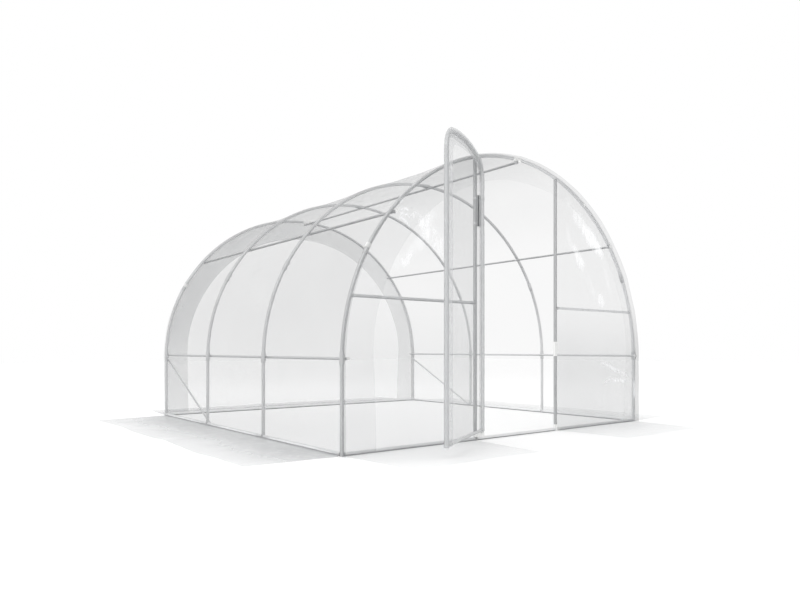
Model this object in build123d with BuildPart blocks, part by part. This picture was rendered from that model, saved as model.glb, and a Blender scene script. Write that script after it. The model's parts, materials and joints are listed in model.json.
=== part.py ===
"""Polytunnel greenhouse: bent-tube hoops on a base frame, under a clear film cover, with a hinged door.

Millimetres, +Z up. The origin is on the ground at the centre of the floor plan. X runs across the
tunnel and Y along it. The wall with the door faces -Y. The door is modelled standing open.
"""

import os
from math import acos, asin, atan2, cos, degrees, pi, radians, sin, sqrt

from build123d import *

# ---- driving dimensions ------------------------------------------------------------------------

tunnel_width = 3000  # between the centre lines of a hoop's two legs
bay_length = 1000  # from one hoop to the next
bay_count = 3
leg_height = 547.5  # straight part of a hoop, from the ground
arch_rise = 1447.6  # from the top of the straight part to the crown
coupling_angle = 29.5  # where a hoop's lower bend is coupled to its rib, in degrees above level

tube_sides = 12  # flats round each tube, with the corners on the tube's true radius
hoop_tube = 25
hoop_wall = 1.2
rail_tube = 17
rail_wall = 1.0
end_rail_tube = 20
brace_tube = 16

seat_gap = 0.3  # between pieces that seat on one another
sleeve_wall = 1.7
sleeve_length = 76
crown_gap = 1.0  # between a hoop's two ribs, inside the crown sleeve

side_rail_height = 567
purlin_angle = 41.5  # of the side purlins, in degrees above level, about the ribs' centre
rail_overhang = 33  # how far rails and purlins run past the middle of the end hoops
cap_thickness = 3
cap_plug_depth = 12
cap_plug_fit = 0.2
end_rail_height = 938

left_post_place = -419
right_post_place = 441
keep_height = 625  # middle of the latch's keep, a sleeve on the right post
keep_length = 110

film = 2.0  # thickness of the modelled film
film_gap = 0.8  # between the film and the nearest tube or sleeve
film_hole_fit = 0.5  # round a rail that passes through the film of an end wall
film_overlap = 50  # how far the cover runs past the end hoops' middle
valance_depth = 190
skirt_width = 590
skirt_wave = 24
skirt_corner_inset = 45  # how far a skirt's outer corners are drawn in

door_width = 800  # between the centre lines of the door's stiles
door_headroom = 75  # from the door's crown up to the hoop's
door_corner_radius = 130
door_bottom_rail_rise = 18  # from the foot of the stiles to the middle of the bottom rail
door_hinge_offset = 35  # from the left post to the hinge axis, across the tunnel
door_clearance = 5.7  # between the closed door's frame and the film of the front wall
door_open_angle = 150
door_film_inset = 26  # keeps the film off the hinge
stile_bore_depth = 60  # how far up the stiles are modelled hollow, for the pivot's pin
hinge_drop = 197  # from the spring of the door's corner down to the middle of the hinge
hinge_length = 220
hinge_thickness = 15
strap_height = 16
strap_wall = 2.0
pivot_block_height = 30
pivot_pin_height = 28
pivot_fit = 0.3

# ---- worked out from them ----------------------------------------------------------------------

half_width = tunnel_width / 2
half_length = bay_length * bay_count / 2
crown_height = leg_height + arch_rise
door_crown_height = crown_height - door_headroom
hoop_radius = hoop_tube / 2
rail_radius = rail_tube / 2
flat_share = cos(pi / tube_sides)  # a tube's radius over its flats, as a share of that over its corners
bend_cos = cos(radians(coupling_angle))
bend_sin = sin(radians(coupling_angle))

# A hoop is two arcs on each side that share a tangent at the coupling.
radius_step = (half_width - arch_rise) / (bend_cos + bend_sin - 1)
bend_radius = half_width - radius_step * bend_cos
rib_radius = bend_radius + radius_step
bend_centre = (half_width - bend_radius, leg_height)
rib_centre = (0, leg_height - radius_step * bend_sin)
coupling_point = (rib_radius * bend_cos, rib_centre[1] + rib_radius * bend_sin)

# A straight sleeve sits half the bent tube's bow inside the bend, with the other half in its bore.
sleeve_shift = (sleeve_length / 2) ** 2 / (2 * min(bend_radius, rib_radius)) / 2
sleeve_bore = (hoop_radius + sleeve_shift) / flat_share + seat_gap
sleeve_radius = sleeve_bore + sleeve_wall
film_inside = sleeve_radius + film_gap
film_outside = film_inside + film
end_film_face = half_length + film_inside
block_foot_height = hoop_tube + seat_gap
door_foot_height = block_foot_height + pivot_block_height + seat_gap
door_bottom_rail_height = door_foot_height + door_bottom_rail_rise
door_standoff = film_outside + door_clearance + hoop_radius
door_hinge_place = left_post_place + door_hinge_offset

hoop_places = {
    "front": -half_length,
    "second": -half_length + bay_length,
    "third": -half_length + 2 * bay_length,
    "back": half_length,
}

os.makedirs("parts", exist_ok=True)


def save(builder, name):
    """Label a finished piece and write it as a STEP file of that name."""
    builder.part.label = name
    export_step(builder.part, f"parts/{name}.step")


def tube_section(outer_radius, wall):
    """Draw a tube's ring-shaped section in the sketch that is open."""
    RegularPolygon(outer_radius, tube_sides)
    RegularPolygon(outer_radius - wall, tube_sides, mode=Mode.SUBTRACT)


def along(start, direction):
    """Return the plane that stands across a tube at its start, with its x axis level."""
    level = Vector(*direction).cross(Vector(0, 0, 1))
    if level.length < 1e-6:
        level = Vector(0, 1, 0)
    return Plane(origin=start, x_dir=level, z_dir=direction)


def straight_tube(start, end, radius, wall):
    """Add a straight tube between two points to the part that is open."""
    run = Vector(*end) - Vector(*start)
    with BuildSketch(along(start, run)) as section:
        tube_section(radius, wall)
    extrude(section.sketch, amount=run.length)


def arch_height(across):
    """Return the height of a hoop's centre line at a place across the tunnel."""
    on_rib = abs(across) < coupling_point[0]
    centre, radius = (rib_centre, rib_radius) if on_rib else (bend_centre, bend_radius)
    return centre[1] + sqrt(radius**2 - (abs(across) - centre[0]) ** 2)


def arch_half_width(height):
    """Return how far a hoop's centre line is from the middle at a height."""
    if height < leg_height:
        return half_width
    on_rib = height > coupling_point[1]
    centre, radius = (rib_centre, rib_radius) if on_rib else (bend_centre, bend_radius)
    return centre[0] + sqrt(radius**2 - (height - centre[1]) ** 2)


# ---- hoops -------------------------------------------------------------------------------------

for name, place in hoop_places.items():
    hoop_plane = Plane(origin=(0, place, 0), x_dir=(1, 0, 0), z_dir=(0, -1, 0))

    with BuildPart() as legs:
        with BuildLine(hoop_plane) as leg_path:
            Line((half_width, 0), (half_width, leg_height))
            CenterArc(bend_centre, bend_radius, 0, coupling_angle)
        with BuildSketch(along((half_width, place, 0), (0, 0, 1))):
            RegularPolygon(hoop_radius, tube_sides)
        sweep(path=leg_path.line)
        mirror(about=Plane.YZ)
    save(legs, f"hoop_{name}_legs")

    crown_angle = 90 - degrees(asin(crown_gap / 2 / rib_radius))
    with BuildPart() as ribs:
        with BuildLine(hoop_plane) as rib_path:
            CenterArc(rib_centre, rib_radius, coupling_angle, crown_angle - coupling_angle)
        rib_start = rib_path.line @ 0
        with BuildSketch(along(rib_start, rib_path.line % 0)):
            RegularPolygon(hoop_radius, tube_sides)
        sweep(path=rib_path.line)
        mirror(about=Plane.YZ)
    save(ribs, f"hoop_{name}_ribs")

sleeve_foot = side_rail_height - sleeve_length / 2
sleeve_top = side_rail_height + sleeve_length / 2
with BuildPart() as leg_sleeves:
    for place in hoop_places.values():
        low = (half_width, place, sleeve_foot)
        high = (arch_half_width(sleeve_top), place, sleeve_top)
        straight_tube(low, high, sleeve_radius, sleeve_wall)
    mirror(about=Plane.YZ)
save(leg_sleeves, "leg_sleeves")

rib_sleeve_place = (
    coupling_point[0] - sleeve_shift * bend_cos,
    coupling_point[1] - sleeve_shift * bend_sin,
)
rib_sleeve_ends = [
    (rib_sleeve_place[0] - reach * bend_sin, rib_sleeve_place[1] + reach * bend_cos)
    for reach in (-sleeve_length / 2, sleeve_length / 2)
]

with BuildPart() as rib_sleeves:
    for place in hoop_places.values():
        low, high = ((across, place, height) for across, height in rib_sleeve_ends)
        straight_tube(low, high, sleeve_radius, sleeve_wall)
    mirror(about=Plane.YZ)
save(rib_sleeves, "rib_sleeves")

crown_sleeve_height = crown_height - sleeve_shift
with BuildPart() as crown_sleeves:
    for place in hoop_places.values():
        left = (-sleeve_length / 2, place, crown_sleeve_height)
        right = (sleeve_length / 2, place, crown_sleeve_height)
        straight_tube(left, right, sleeve_radius, sleeve_wall)
save(crown_sleeves, "crown_sleeves")

# ---- base frame, cut to fit between the legs and posts that stand on the ground ----------------

base_end_gap = hoop_radius + seat_gap


def base_rails(stations):
    """Add ground-level tubes to the open part, one between each standing tube and the next."""
    for start, end in zip(stations, stations[1:]):
        run = (Vector(*end) - Vector(*start)).normalized() * base_end_gap
        straight_tube(tuple(Vector(*start) + run), tuple(Vector(*end) - run), hoop_radius, hoop_wall)


for side, across in (("left", -half_width), ("right", half_width)):
    with BuildPart() as base_rail:
        base_rails([(across, place, hoop_radius) for place in hoop_places.values()])
    save(base_rail, f"base_rail_{side}")

front_stations = (-half_width, left_post_place, right_post_place, half_width)
for side, place, stations in (
    ("front", -half_length, front_stations),
    ("back", half_length, (-half_width, half_width)),
):
    with BuildPart() as base_rail:
        base_rails([(across, place, hoop_radius) for across in stations])
    save(base_rail, f"base_rail_{side}")

# ---- rails and purlins that tie the hoops together ---------------------------------------------

rail_run = half_length + rail_overhang
side_sleeve_place = (half_width + arch_half_width(sleeve_top)) / 2
side_rail_place = side_sleeve_place - sleeve_radius - seat_gap - rail_radius
purlin_circle = rib_radius - hoop_radius - seat_gap - rail_radius
purlin_place = purlin_circle * cos(radians(purlin_angle))
purlin_height = rib_centre[1] + purlin_circle * sin(radians(purlin_angle))
ridge_height = crown_sleeve_height - sleeve_radius - seat_gap - rail_radius

long_members = {
    "side_rail_left": (-side_rail_place, side_rail_height),
    "side_rail_right": (side_rail_place, side_rail_height),
    "purlin_left": (-purlin_place, purlin_height),
    "purlin_right": (purlin_place, purlin_height),
    "ridge_purlin": (0, ridge_height),
}
for name, (across, height) in long_members.items():
    with BuildPart() as member:
        straight_tube((across, -rail_run, height), (across, rail_run, height), rail_radius, rail_wall)
    save(member, name)

plug_radius = (rail_radius - rail_wall) * flat_share - cap_plug_fit
with BuildPart() as rail_caps:
    for direction in (-1, 1):
        end_plane = Plane(origin=(0, direction * rail_run, 0), x_dir=(1, 0, 0), z_dir=(0, -1, 0))
        with BuildSketch(end_plane):
            with Locations(*long_members.values()):
                RegularPolygon(rail_radius, tube_sides)
        extrude(amount=-direction * cap_thickness)
        with BuildSketch(end_plane):
            with Locations(*long_members.values()):
                RegularPolygon(plug_radius, tube_sides)
        extrude(amount=direction * cap_plug_depth)
save(rail_caps, "rail_caps")

# ---- braces in the rear bay --------------------------------------------------------------------

brace_radius = brace_tube / 2
brace_place = half_width - hoop_radius - seat_gap - brace_radius
brace_top = side_rail_height - sleeve_length / 2 - brace_radius
brace_foot = brace_radius + 6
with BuildPart() as braces:
    foot = (brace_place, hoop_places["third"], brace_foot)
    top = (brace_place, hoop_places["back"], brace_top)
    straight_tube(foot, top, brace_radius, rail_wall)
    mirror(about=Plane.YZ)
save(braces, "braces")

# ---- front end frame ---------------------------------------------------------------------------

front_plane = Plane(origin=(0, -half_length, 0), x_dir=(1, 0, 0), z_dir=(0, -1, 0))
cope_radius = hoop_radius + seat_gap


def cut_front_hoop():
    """Cut the open part away where the front hoop and its sleeves pass, with the seat's clearance."""
    for side in (1, -1):
        with BuildLine(front_plane) as hoop_line:
            start = 0 if side > 0 else 180 - coupling_angle
            CenterArc((side * bend_centre[0], bend_centre[1]), bend_radius, start, coupling_angle)
        with BuildLine(front_plane) as rib_line:
            start = coupling_angle if side > 0 else 90
            CenterArc(rib_centre, rib_radius, start, 90 - coupling_angle)
        for line in (hoop_line.line, rib_line.line):
            with BuildSketch(along(line @ 0, line % 0)) as clearance:
                Circle(cope_radius)
            sweep(clearance.sketch, path=line, mode=Mode.SUBTRACT)
        low, high = (Vector(side * across, -half_length, height) for across, height in rib_sleeve_ends)
        with BuildSketch(along(low, high - low)) as clearance:
            Circle(sleeve_radius + seat_gap)
        extrude(clearance.sketch, amount=(high - low).length, mode=Mode.SUBTRACT)


for side, across in (("left", left_post_place), ("right", right_post_place)):
    with BuildPart() as post:
        top = arch_height(across)
        straight_tube((across, -half_length, 0), (across, -half_length, top), hoop_radius, hoop_wall)
        cut_front_hoop()
    save(post, f"door_post_{side}")

keep_radius = (hoop_radius + seat_gap) / flat_share + sleeve_wall
with BuildPart() as latch_keep:
    keep_foot = (right_post_place, -half_length, keep_height - keep_length / 2)
    keep_top = (right_post_place, -half_length, keep_height + keep_length / 2)
    straight_tube(keep_foot, keep_top, keep_radius, sleeve_wall)
save(latch_keep, "latch_keep")

end_rail_reach = arch_half_width(end_rail_height)
end_rails = {
    "left": (left_post_place - cope_radius, -end_rail_reach),
    "right": (right_post_place + cope_radius, end_rail_reach),
}
for side, (inner, outer) in end_rails.items():
    with BuildPart() as end_rail:
        start = (inner, -half_length, end_rail_height)
        end = (outer, -half_length, end_rail_height)
        straight_tube(start, end, end_rail_tube / 2, rail_wall)
        cut_front_hoop()
    save(end_rail, f"end_rail_{side}")

# ---- door, drawn in its own plane as it stands open --------------------------------------------

hinge_point = Vector(door_hinge_place, -half_length - door_standoff, 0)
door_turn = radians(-door_open_angle)
door_plane = Plane(
    origin=hinge_point,
    x_dir=(cos(door_turn), sin(door_turn), 0),
    z_dir=(sin(door_turn), -cos(door_turn), 0),
)
door_arch_radius = door_crown_height - rib_centre[1]
door_middle = door_width / 2
corner_rise = sqrt((door_arch_radius - door_corner_radius) ** 2 - (door_middle - door_corner_radius) ** 2)
corner_height = rib_centre[1] + corner_rise
arch_start = degrees(atan2(corner_rise, door_middle - door_corner_radius))


def door_outline(outset, hinge_side, foot):
    """Draw the door's centre line, or a line outset from it, from one foot over the arch to the other.

    The straight part on the hinge side can stand further in, which cuts its corner short.
    """
    corner = door_corner_radius + outset
    far = door_width + outset
    corner_end = degrees(acos((hinge_side - door_corner_radius) / corner))
    CenterArc((door_middle, rib_centre[1]), door_arch_radius + outset, arch_start, 180 - 2 * arch_start)
    CenterArc((door_corner_radius, corner_height), corner, 180 - arch_start, corner_end + arch_start - 180)
    CenterArc((door_width - door_corner_radius, corner_height), corner, 0, arch_start)
    Line((hinge_side, corner_height + corner * sin(radians(corner_end))), (hinge_side, foot))
    Line((far, corner_height), (far, foot))


with BuildPart() as door_frame:
    with BuildLine(door_plane) as door_path:
        door_outline(0, 0, door_foot_height)
    with BuildSketch(along(hinge_point + Vector(0, 0, door_foot_height), (0, 0, 1))):
        RegularPolygon(hoop_radius, tube_sides)
    sweep(path=door_path.line)
    for across in (0, door_width):
        with BuildSketch(along(door_plane.from_local_coords((across, door_foot_height, 0)), (0, 0, 1))):
            RegularPolygon(hoop_radius - hoop_wall, tube_sides)
        extrude(amount=stile_bore_depth, mode=Mode.SUBTRACT)
save(door_frame, "door_frame")

rail_end = hoop_radius + seat_gap
with BuildPart() as door_bottom_rail:
    near_end = door_plane.from_local_coords((0, door_bottom_rail_height, 0))
    far_end = door_plane.from_local_coords((door_width, door_bottom_rail_height, 0))
    straight_tube(tuple(near_end), tuple(far_end), end_rail_tube / 2, rail_wall)
    for end in (near_end, far_end):
        with BuildSketch(Plane(origin=(end.X, end.Y, 0))):
            Circle(rail_end)
        extrude(amount=2 * door_bottom_rail_height, mode=Mode.SUBTRACT)
save(door_bottom_rail, "door_bottom_rail")

film_foot = door_bottom_rail_height - hoop_radius
with BuildPart() as door_film:
    with BuildSketch(door_plane.offset(hoop_radius + film_gap)):
        with BuildLine():
            door_outline(hoop_radius, door_film_inset, film_foot)
            Line((door_film_inset, film_foot), (door_width + hoop_radius, film_foot))
        make_face()
    extrude(amount=film)
save(door_film, "door_film")

# ---- hinge between the left post and the door's stile ------------------------------------------

post_point = Vector(left_post_place, -half_length, 0)
hinge_run = hinge_point - post_point
hinge_height = corner_height - hinge_drop
hinge_plane = Plane(origin=post_point, x_dir=hinge_run, z_dir=(0, 0, 1))
strap_bore = (hoop_radius + seat_gap) / flat_share

with BuildPart() as hinge_body:
    with BuildSketch(hinge_plane.offset(hinge_height - hinge_length / 2)):
        with Locations((hinge_run.length / 2, 0)):
            RectangleRounded(hinge_run.length - hoop_tube - 4, hinge_thickness, 3)
            Rectangle(hinge_run.length, hinge_thickness - 5)
        with Locations((0, 0), (hinge_run.length, 0)):
            RegularPolygon(strap_bore, tube_sides, mode=Mode.SUBTRACT)
    extrude(amount=hinge_length)
save(hinge_body, "hinge_body")

with BuildPart() as hinge_straps:
    for end in (-1, 1):
        strap_foot = hinge_height + end * (hinge_length / 2 - 1.5 * strap_height) - strap_height / 2
        with BuildSketch(hinge_plane.offset(strap_foot)):
            with Locations((0, 0), (hinge_run.length, 0)):
                RegularPolygon(strap_bore + strap_wall, tube_sides)
                RegularPolygon(strap_bore, tube_sides, mode=Mode.SUBTRACT)
            with Locations((hinge_run.length / 2, 0)):
                Rectangle(hinge_run.length, hinge_thickness + 2 * seat_gap, mode=Mode.SUBTRACT)
        extrude(amount=strap_height)
save(hinge_straps, "hinge_straps")

pivot_pin_radius = (hoop_radius - hoop_wall) * flat_share - pivot_fit
with BuildPart() as pivot_block:
    with BuildSketch(hinge_plane.offset(block_foot_height)):
        with Locations((hinge_run.length / 2, 0)):
            Rectangle(hinge_run.length, hoop_tube)
        with Locations((hinge_run.length, 0)):
            RegularPolygon(hoop_radius, tube_sides)
        with Locations((0, 0)):
            RegularPolygon(strap_bore, tube_sides, mode=Mode.SUBTRACT)
    extrude(amount=pivot_block_height)
    with BuildSketch(hinge_plane.offset(block_foot_height + pivot_block_height)):
        with Locations((hinge_run.length, 0)):
            RegularPolygon(pivot_pin_radius, tube_sides)
    extrude(amount=pivot_pin_height)
save(pivot_block, "pivot_block")

# ---- film cover over the hoops -----------------------------------------------------------------

cover_plane = Plane(origin=(0, -half_length - film_overlap, 0), x_dir=(1, 0, 0), z_dir=(0, -1, 0))
cover_length = 2 * (half_length + film_overlap)


def film_band(centre, radius, start, sweep_angle):
    """Draw the film's section along one arc of the hoops."""
    end = start + sweep_angle
    inner = radius + film_inside
    outer = radius + film_outside

    def point(reach, angle):
        return (centre[0] + reach * cos(radians(angle)), centre[1] + reach * sin(radians(angle)))

    with BuildLine() as edge:
        CenterArc(centre, inner, start, sweep_angle)
        CenterArc(centre, outer, start, sweep_angle)
        Line(point(inner, start), point(outer, start))
        Line(point(inner, end), point(outer, end))
    make_face(edge.edges())


for side, direction in (("left", -1), ("right", 1)):
    with BuildPart() as cover_wall:
        with BuildSketch(cover_plane):
            with Locations((direction * (half_width + film_inside + film / 2), leg_height / 2)):
                Rectangle(film, leg_height)
        extrude(amount=-cover_length)
    save(cover_wall, f"cover_{side}_wall")

    with BuildPart() as cover_shoulder:
        with BuildSketch(cover_plane):
            start = 0 if direction > 0 else 180 - coupling_angle
            film_band((direction * bend_centre[0], bend_centre[1]), bend_radius, start, coupling_angle)
        extrude(amount=-cover_length)
    save(cover_shoulder, f"cover_{side}_shoulder")

    with BuildPart() as cover_roof:
        with BuildSketch(cover_plane):
            start = coupling_angle if direction > 0 else 90
            film_band(rib_centre, rib_radius, start, 90 - coupling_angle)
        extrude(amount=-cover_length)
    save(cover_roof, f"cover_{side}_roof")

# ---- film on the end walls ---------------------------------------------------------------------


def end_outline(inset):
    """Draw the outline of an end wall at a distance inside the hoop's centre line."""
    with BuildLine() as outline:
        CenterArc(rib_centre, rib_radius - inset, coupling_angle, 180 - 2 * coupling_angle)
        CenterArc(bend_centre, bend_radius - inset, 0, coupling_angle)
        far_centre = (-bend_centre[0], bend_centre[1])
        CenterArc(far_centre, bend_radius - inset, 180 - coupling_angle, coupling_angle)
        Line((half_width - inset, leg_height), (half_width - inset, 0))
        Line((half_width - inset, 0), (inset - half_width, 0))
        Line((inset - half_width, 0), (inset - half_width, leg_height))
    make_face(outline.edges())


def cut_rail_holes():
    """Cut a hole in the end wall's sketch round each rail and purlin that passes through it."""
    with Locations(*long_members.values()):
        RegularPolygon(rail_radius + film_hole_fit, tube_sides, mode=Mode.SUBTRACT)


end_film_edge = -film_inside + seat_gap
with BuildPart() as back_film:
    with BuildSketch(Plane(origin=(0, end_film_face, 0), x_dir=(-1, 0, 0), z_dir=(0, 1, 0))):
        end_outline(end_film_edge)
        cut_rail_holes()
    extrude(amount=film)
save(back_film, "back_film")

front_film_plane = Plane(origin=(0, -end_film_face, 0), x_dir=(1, 0, 0), z_dir=(0, -1, 0))
doorway_left = left_post_place - strap_bore - strap_wall - film_gap
doorway_right = right_post_place - hoop_radius
for side, edge, direction in (("left", doorway_left, -1), ("right", doorway_right, 1)):
    with BuildPart() as front_film:
        with BuildSketch(front_film_plane):
            end_outline(end_film_edge)
            with Locations((edge - direction * tunnel_width / 2, crown_height / 2)):
                Rectangle(tunnel_width, 2 * crown_height, mode=Mode.SUBTRACT)
            cut_rail_holes()
        extrude(amount=film)
    save(front_film, f"front_film_{side}")

with BuildPart() as front_film_valance:
    with BuildSketch(front_film_plane):
        end_outline(end_film_edge)
        with Locations(((doorway_left + doorway_right) / 2, crown_height)):
            Rectangle(doorway_right - doorway_left, crown_height, mode=Mode.INTERSECT)
        with Locations(rib_centre):
            Circle(rib_radius - valance_depth, mode=Mode.SUBTRACT)
        cut_rail_holes()
    extrude(amount=film)
save(front_film_valance, "front_film_valance")

# ---- skirts that lie on the ground -------------------------------------------------------------

wall_face = half_width + film_outside + seat_gap
end_face = end_film_face + film + seat_gap


def skirt(plane, start, end, waves):
    """Add a flat skirt to the open part, along the given plane's x axis, with a wavy outer edge."""
    first = start + skirt_corner_inset
    spacing = (end - start - 2 * skirt_corner_inset) / waves
    crests = [skirt_width + (skirt_wave if step % 2 else -skirt_wave) / 2 for step in range(waves + 1)]
    edge = [(first + spacing * step, crest) for step, crest in enumerate(crests)]
    with BuildSketch(plane) as sheet:
        with BuildLine() as outline:
            Spline(*edge)
            Line(edge[-1], (end, 0))
            Line((end, 0), (start, 0))
            Line((start, 0), edge[0])
        make_face(outline.edges())
    extrude(sheet.sketch, amount=film)


for side, direction in (("left", -1), ("right", 1)):
    with BuildPart() as side_skirt:
        wall_plane = Plane(origin=(direction * wall_face, 0, 0), x_dir=(0, -direction, 0), z_dir=(0, 0, 1))
        skirt(wall_plane, -half_length, half_length, 5)
    save(side_skirt, f"skirt_{side}")

front_ground = Plane(origin=(0, -end_face, 0), x_dir=(-1, 0, 0), z_dir=(0, 0, 1))
with BuildPart() as skirt_front:
    skirt(front_ground, -left_post_place, half_width, 3)
    skirt(front_ground, -half_width, -right_post_place, 3)
save(skirt_front, "skirt_front")

back_ground = Plane(origin=(0, end_face, 0), x_dir=(1, 0, 0), z_dir=(0, 0, 1))
with BuildPart() as skirt_back:
    skirt(back_ground, -half_width, half_width, 7)
save(skirt_back, "skirt_back")
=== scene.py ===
"""Looks of the polytunnel greenhouse: round steel tubes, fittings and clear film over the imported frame.

Metres, in the frame's own axes. The origin is on the ground at the centre of the floor plan, +X runs
across the tunnel, +Y runs along it and the wall with the door faces -Y.
"""

import json
import logging
from collections.abc import Callable, Iterator, Mapping, Sequence
from contextlib import contextmanager
from dataclasses import dataclass, field
from enum import Enum, IntEnum
from math import asin, atan2, cos, exp, hypot, pi, radians, sin, sqrt

import bmesh
import bpy
from mathutils import Matrix, Vector, noise

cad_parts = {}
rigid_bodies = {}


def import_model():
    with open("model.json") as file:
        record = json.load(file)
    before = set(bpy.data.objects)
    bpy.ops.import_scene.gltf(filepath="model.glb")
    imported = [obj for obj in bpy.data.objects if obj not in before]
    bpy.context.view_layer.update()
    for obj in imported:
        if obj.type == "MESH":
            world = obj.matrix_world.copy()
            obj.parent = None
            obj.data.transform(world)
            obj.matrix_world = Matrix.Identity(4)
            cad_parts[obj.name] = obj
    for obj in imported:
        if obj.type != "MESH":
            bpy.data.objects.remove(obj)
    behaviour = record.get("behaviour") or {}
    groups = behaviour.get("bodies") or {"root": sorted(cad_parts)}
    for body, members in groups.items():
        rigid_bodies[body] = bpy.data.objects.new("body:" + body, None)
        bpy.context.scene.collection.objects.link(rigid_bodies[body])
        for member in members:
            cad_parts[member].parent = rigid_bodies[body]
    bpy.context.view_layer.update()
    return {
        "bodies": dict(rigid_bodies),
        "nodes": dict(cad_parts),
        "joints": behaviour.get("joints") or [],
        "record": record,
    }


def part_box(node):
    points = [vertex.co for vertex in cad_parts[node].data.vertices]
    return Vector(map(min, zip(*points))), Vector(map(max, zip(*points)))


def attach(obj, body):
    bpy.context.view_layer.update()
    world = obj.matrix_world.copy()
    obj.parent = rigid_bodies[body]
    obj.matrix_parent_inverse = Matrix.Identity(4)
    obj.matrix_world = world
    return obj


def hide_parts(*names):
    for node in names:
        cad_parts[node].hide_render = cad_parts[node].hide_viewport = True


Piece = bpy.types.Object
Material = bpy.types.Material
Socket = bpy.types.NodeSocket
Pair = tuple[float, float]
Triple = tuple[float, float, float]
Inputs = Mapping[str | int, object]

LOG = logging.getLogger("polytunnel")
MM = 0.001
ACROSS = Vector((1, 0, 0))
ALONG = Vector((0, 1, 0))
UP = Vector((0, 0, 1))
MERGE_DISTANCE = 0.01 * MM

# How far the cover and the end sheets lie off their tubes, and how high the lowest film lies.
COVER_GAP = 1.2 * MM
END_GAP = 1.5 * MM
FILM_FLOOR = 1 * MM


class Body(Enum):
    """The bodies that pieces ride on."""

    TUNNEL = "tunnel"
    DOOR = "door"


class Slot(Enum):
    """The record's material slots."""

    STEEL = "galvanised_tube"
    FILM = "film"
    SKIRT = "skirt_film"
    WHITE = "white_plastic"
    DARK = "dark_plastic"


class Held(Enum):
    """How a sheet of film is held."""

    STRETCHED = "stretched"
    FOLDED = "folded"
    LAID = "laid"


class SelectMode(Enum):
    """What edit mode selects."""

    VERTEX = "VERT"
    EDGE = "EDGE"
    FACE = "FACE"


class End(IntEnum):
    """The tunnel's two ends, by the way along Y that they face."""

    FRONT = -1
    BACK = 1


# ---- shader helpers ----


class Value:
    """A number in a shader, which adds Math nodes as it is calculated with."""

    def __init__(self, recipe: "Recipe", socket: Socket) -> None:
        """Wrap an output socket of a material."""
        self.recipe = recipe
        self.socket = socket

    def _math(self, operation: str, *operands: object) -> "Value":
        """Return what a Math node makes of its inputs, in order."""
        node = self.recipe.node("ShaderNodeMath", dict(enumerate(operands)), operation=operation)
        return Value(self.recipe, node.outputs[0])

    def __add__(self, other: object) -> "Value":
        """Return the sum."""
        return self._math("ADD", self, other)

    __radd__ = __add__

    def __sub__(self, other: object) -> "Value":
        """Return the difference."""
        return self._math("SUBTRACT", self, other)

    def __rsub__(self, other: object) -> "Value":
        """Return the difference, from the right."""
        return self._math("SUBTRACT", other, self)

    def __mul__(self, other: object) -> "Value":
        """Return the product."""
        return self._math("MULTIPLY", self, other)

    __rmul__ = __mul__

    def __truediv__(self, other: object) -> "Value":
        """Return the quotient."""
        return self._math("DIVIDE", self, other)

    def least(self, other: object) -> "Value":
        """Return the smaller of two."""
        return self._math("MINIMUM", self, other)

    def step(self, low: float, high: float) -> "Value":
        """Return a smooth step.

        Args:
            low: Where the step starts from 0.
            high: Where it reaches 1.

        Returns:
            The step's height.
        """
        inputs = {"Value": self, "From Min": low, "From Max": high}
        node = self.recipe.node("ShaderNodeMapRange", inputs, interpolation_type="SMOOTHSTEP", clamp=True)
        return Value(self.recipe, node.outputs[0])


class Graph:
    """Shader nodes while they are put together."""

    def __init__(self, tree: bpy.types.NodeTree) -> None:
        """Work on a node tree."""
        self.tree = tree

    def node(self, kind: str, inputs: Inputs, **settings: object) -> bpy.types.Node:
        """Add one node.

        Args:
            kind: The node's type.
            inputs: A value or a link for each socket, by name or by place.
            settings: Its own options, set before its sockets.

        Returns:
            The node.
        """
        node = self.tree.nodes.new(kind)
        for name, setting in settings.items():
            setattr(node, name, setting)
        for name, given in inputs.items():
            self.feed(node.inputs[name], given)
        return node

    def feed(self, socket: Socket, given: object) -> None:
        """Link a socket or set its value.

        Args:
            socket: The input.
            given: A Value, an output socket or a plain value.
        """
        source = given.socket if isinstance(given, Value) else given
        if isinstance(source, Socket):
            self.tree.links.new(source, socket)
        else:
            socket.default_value = source


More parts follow.
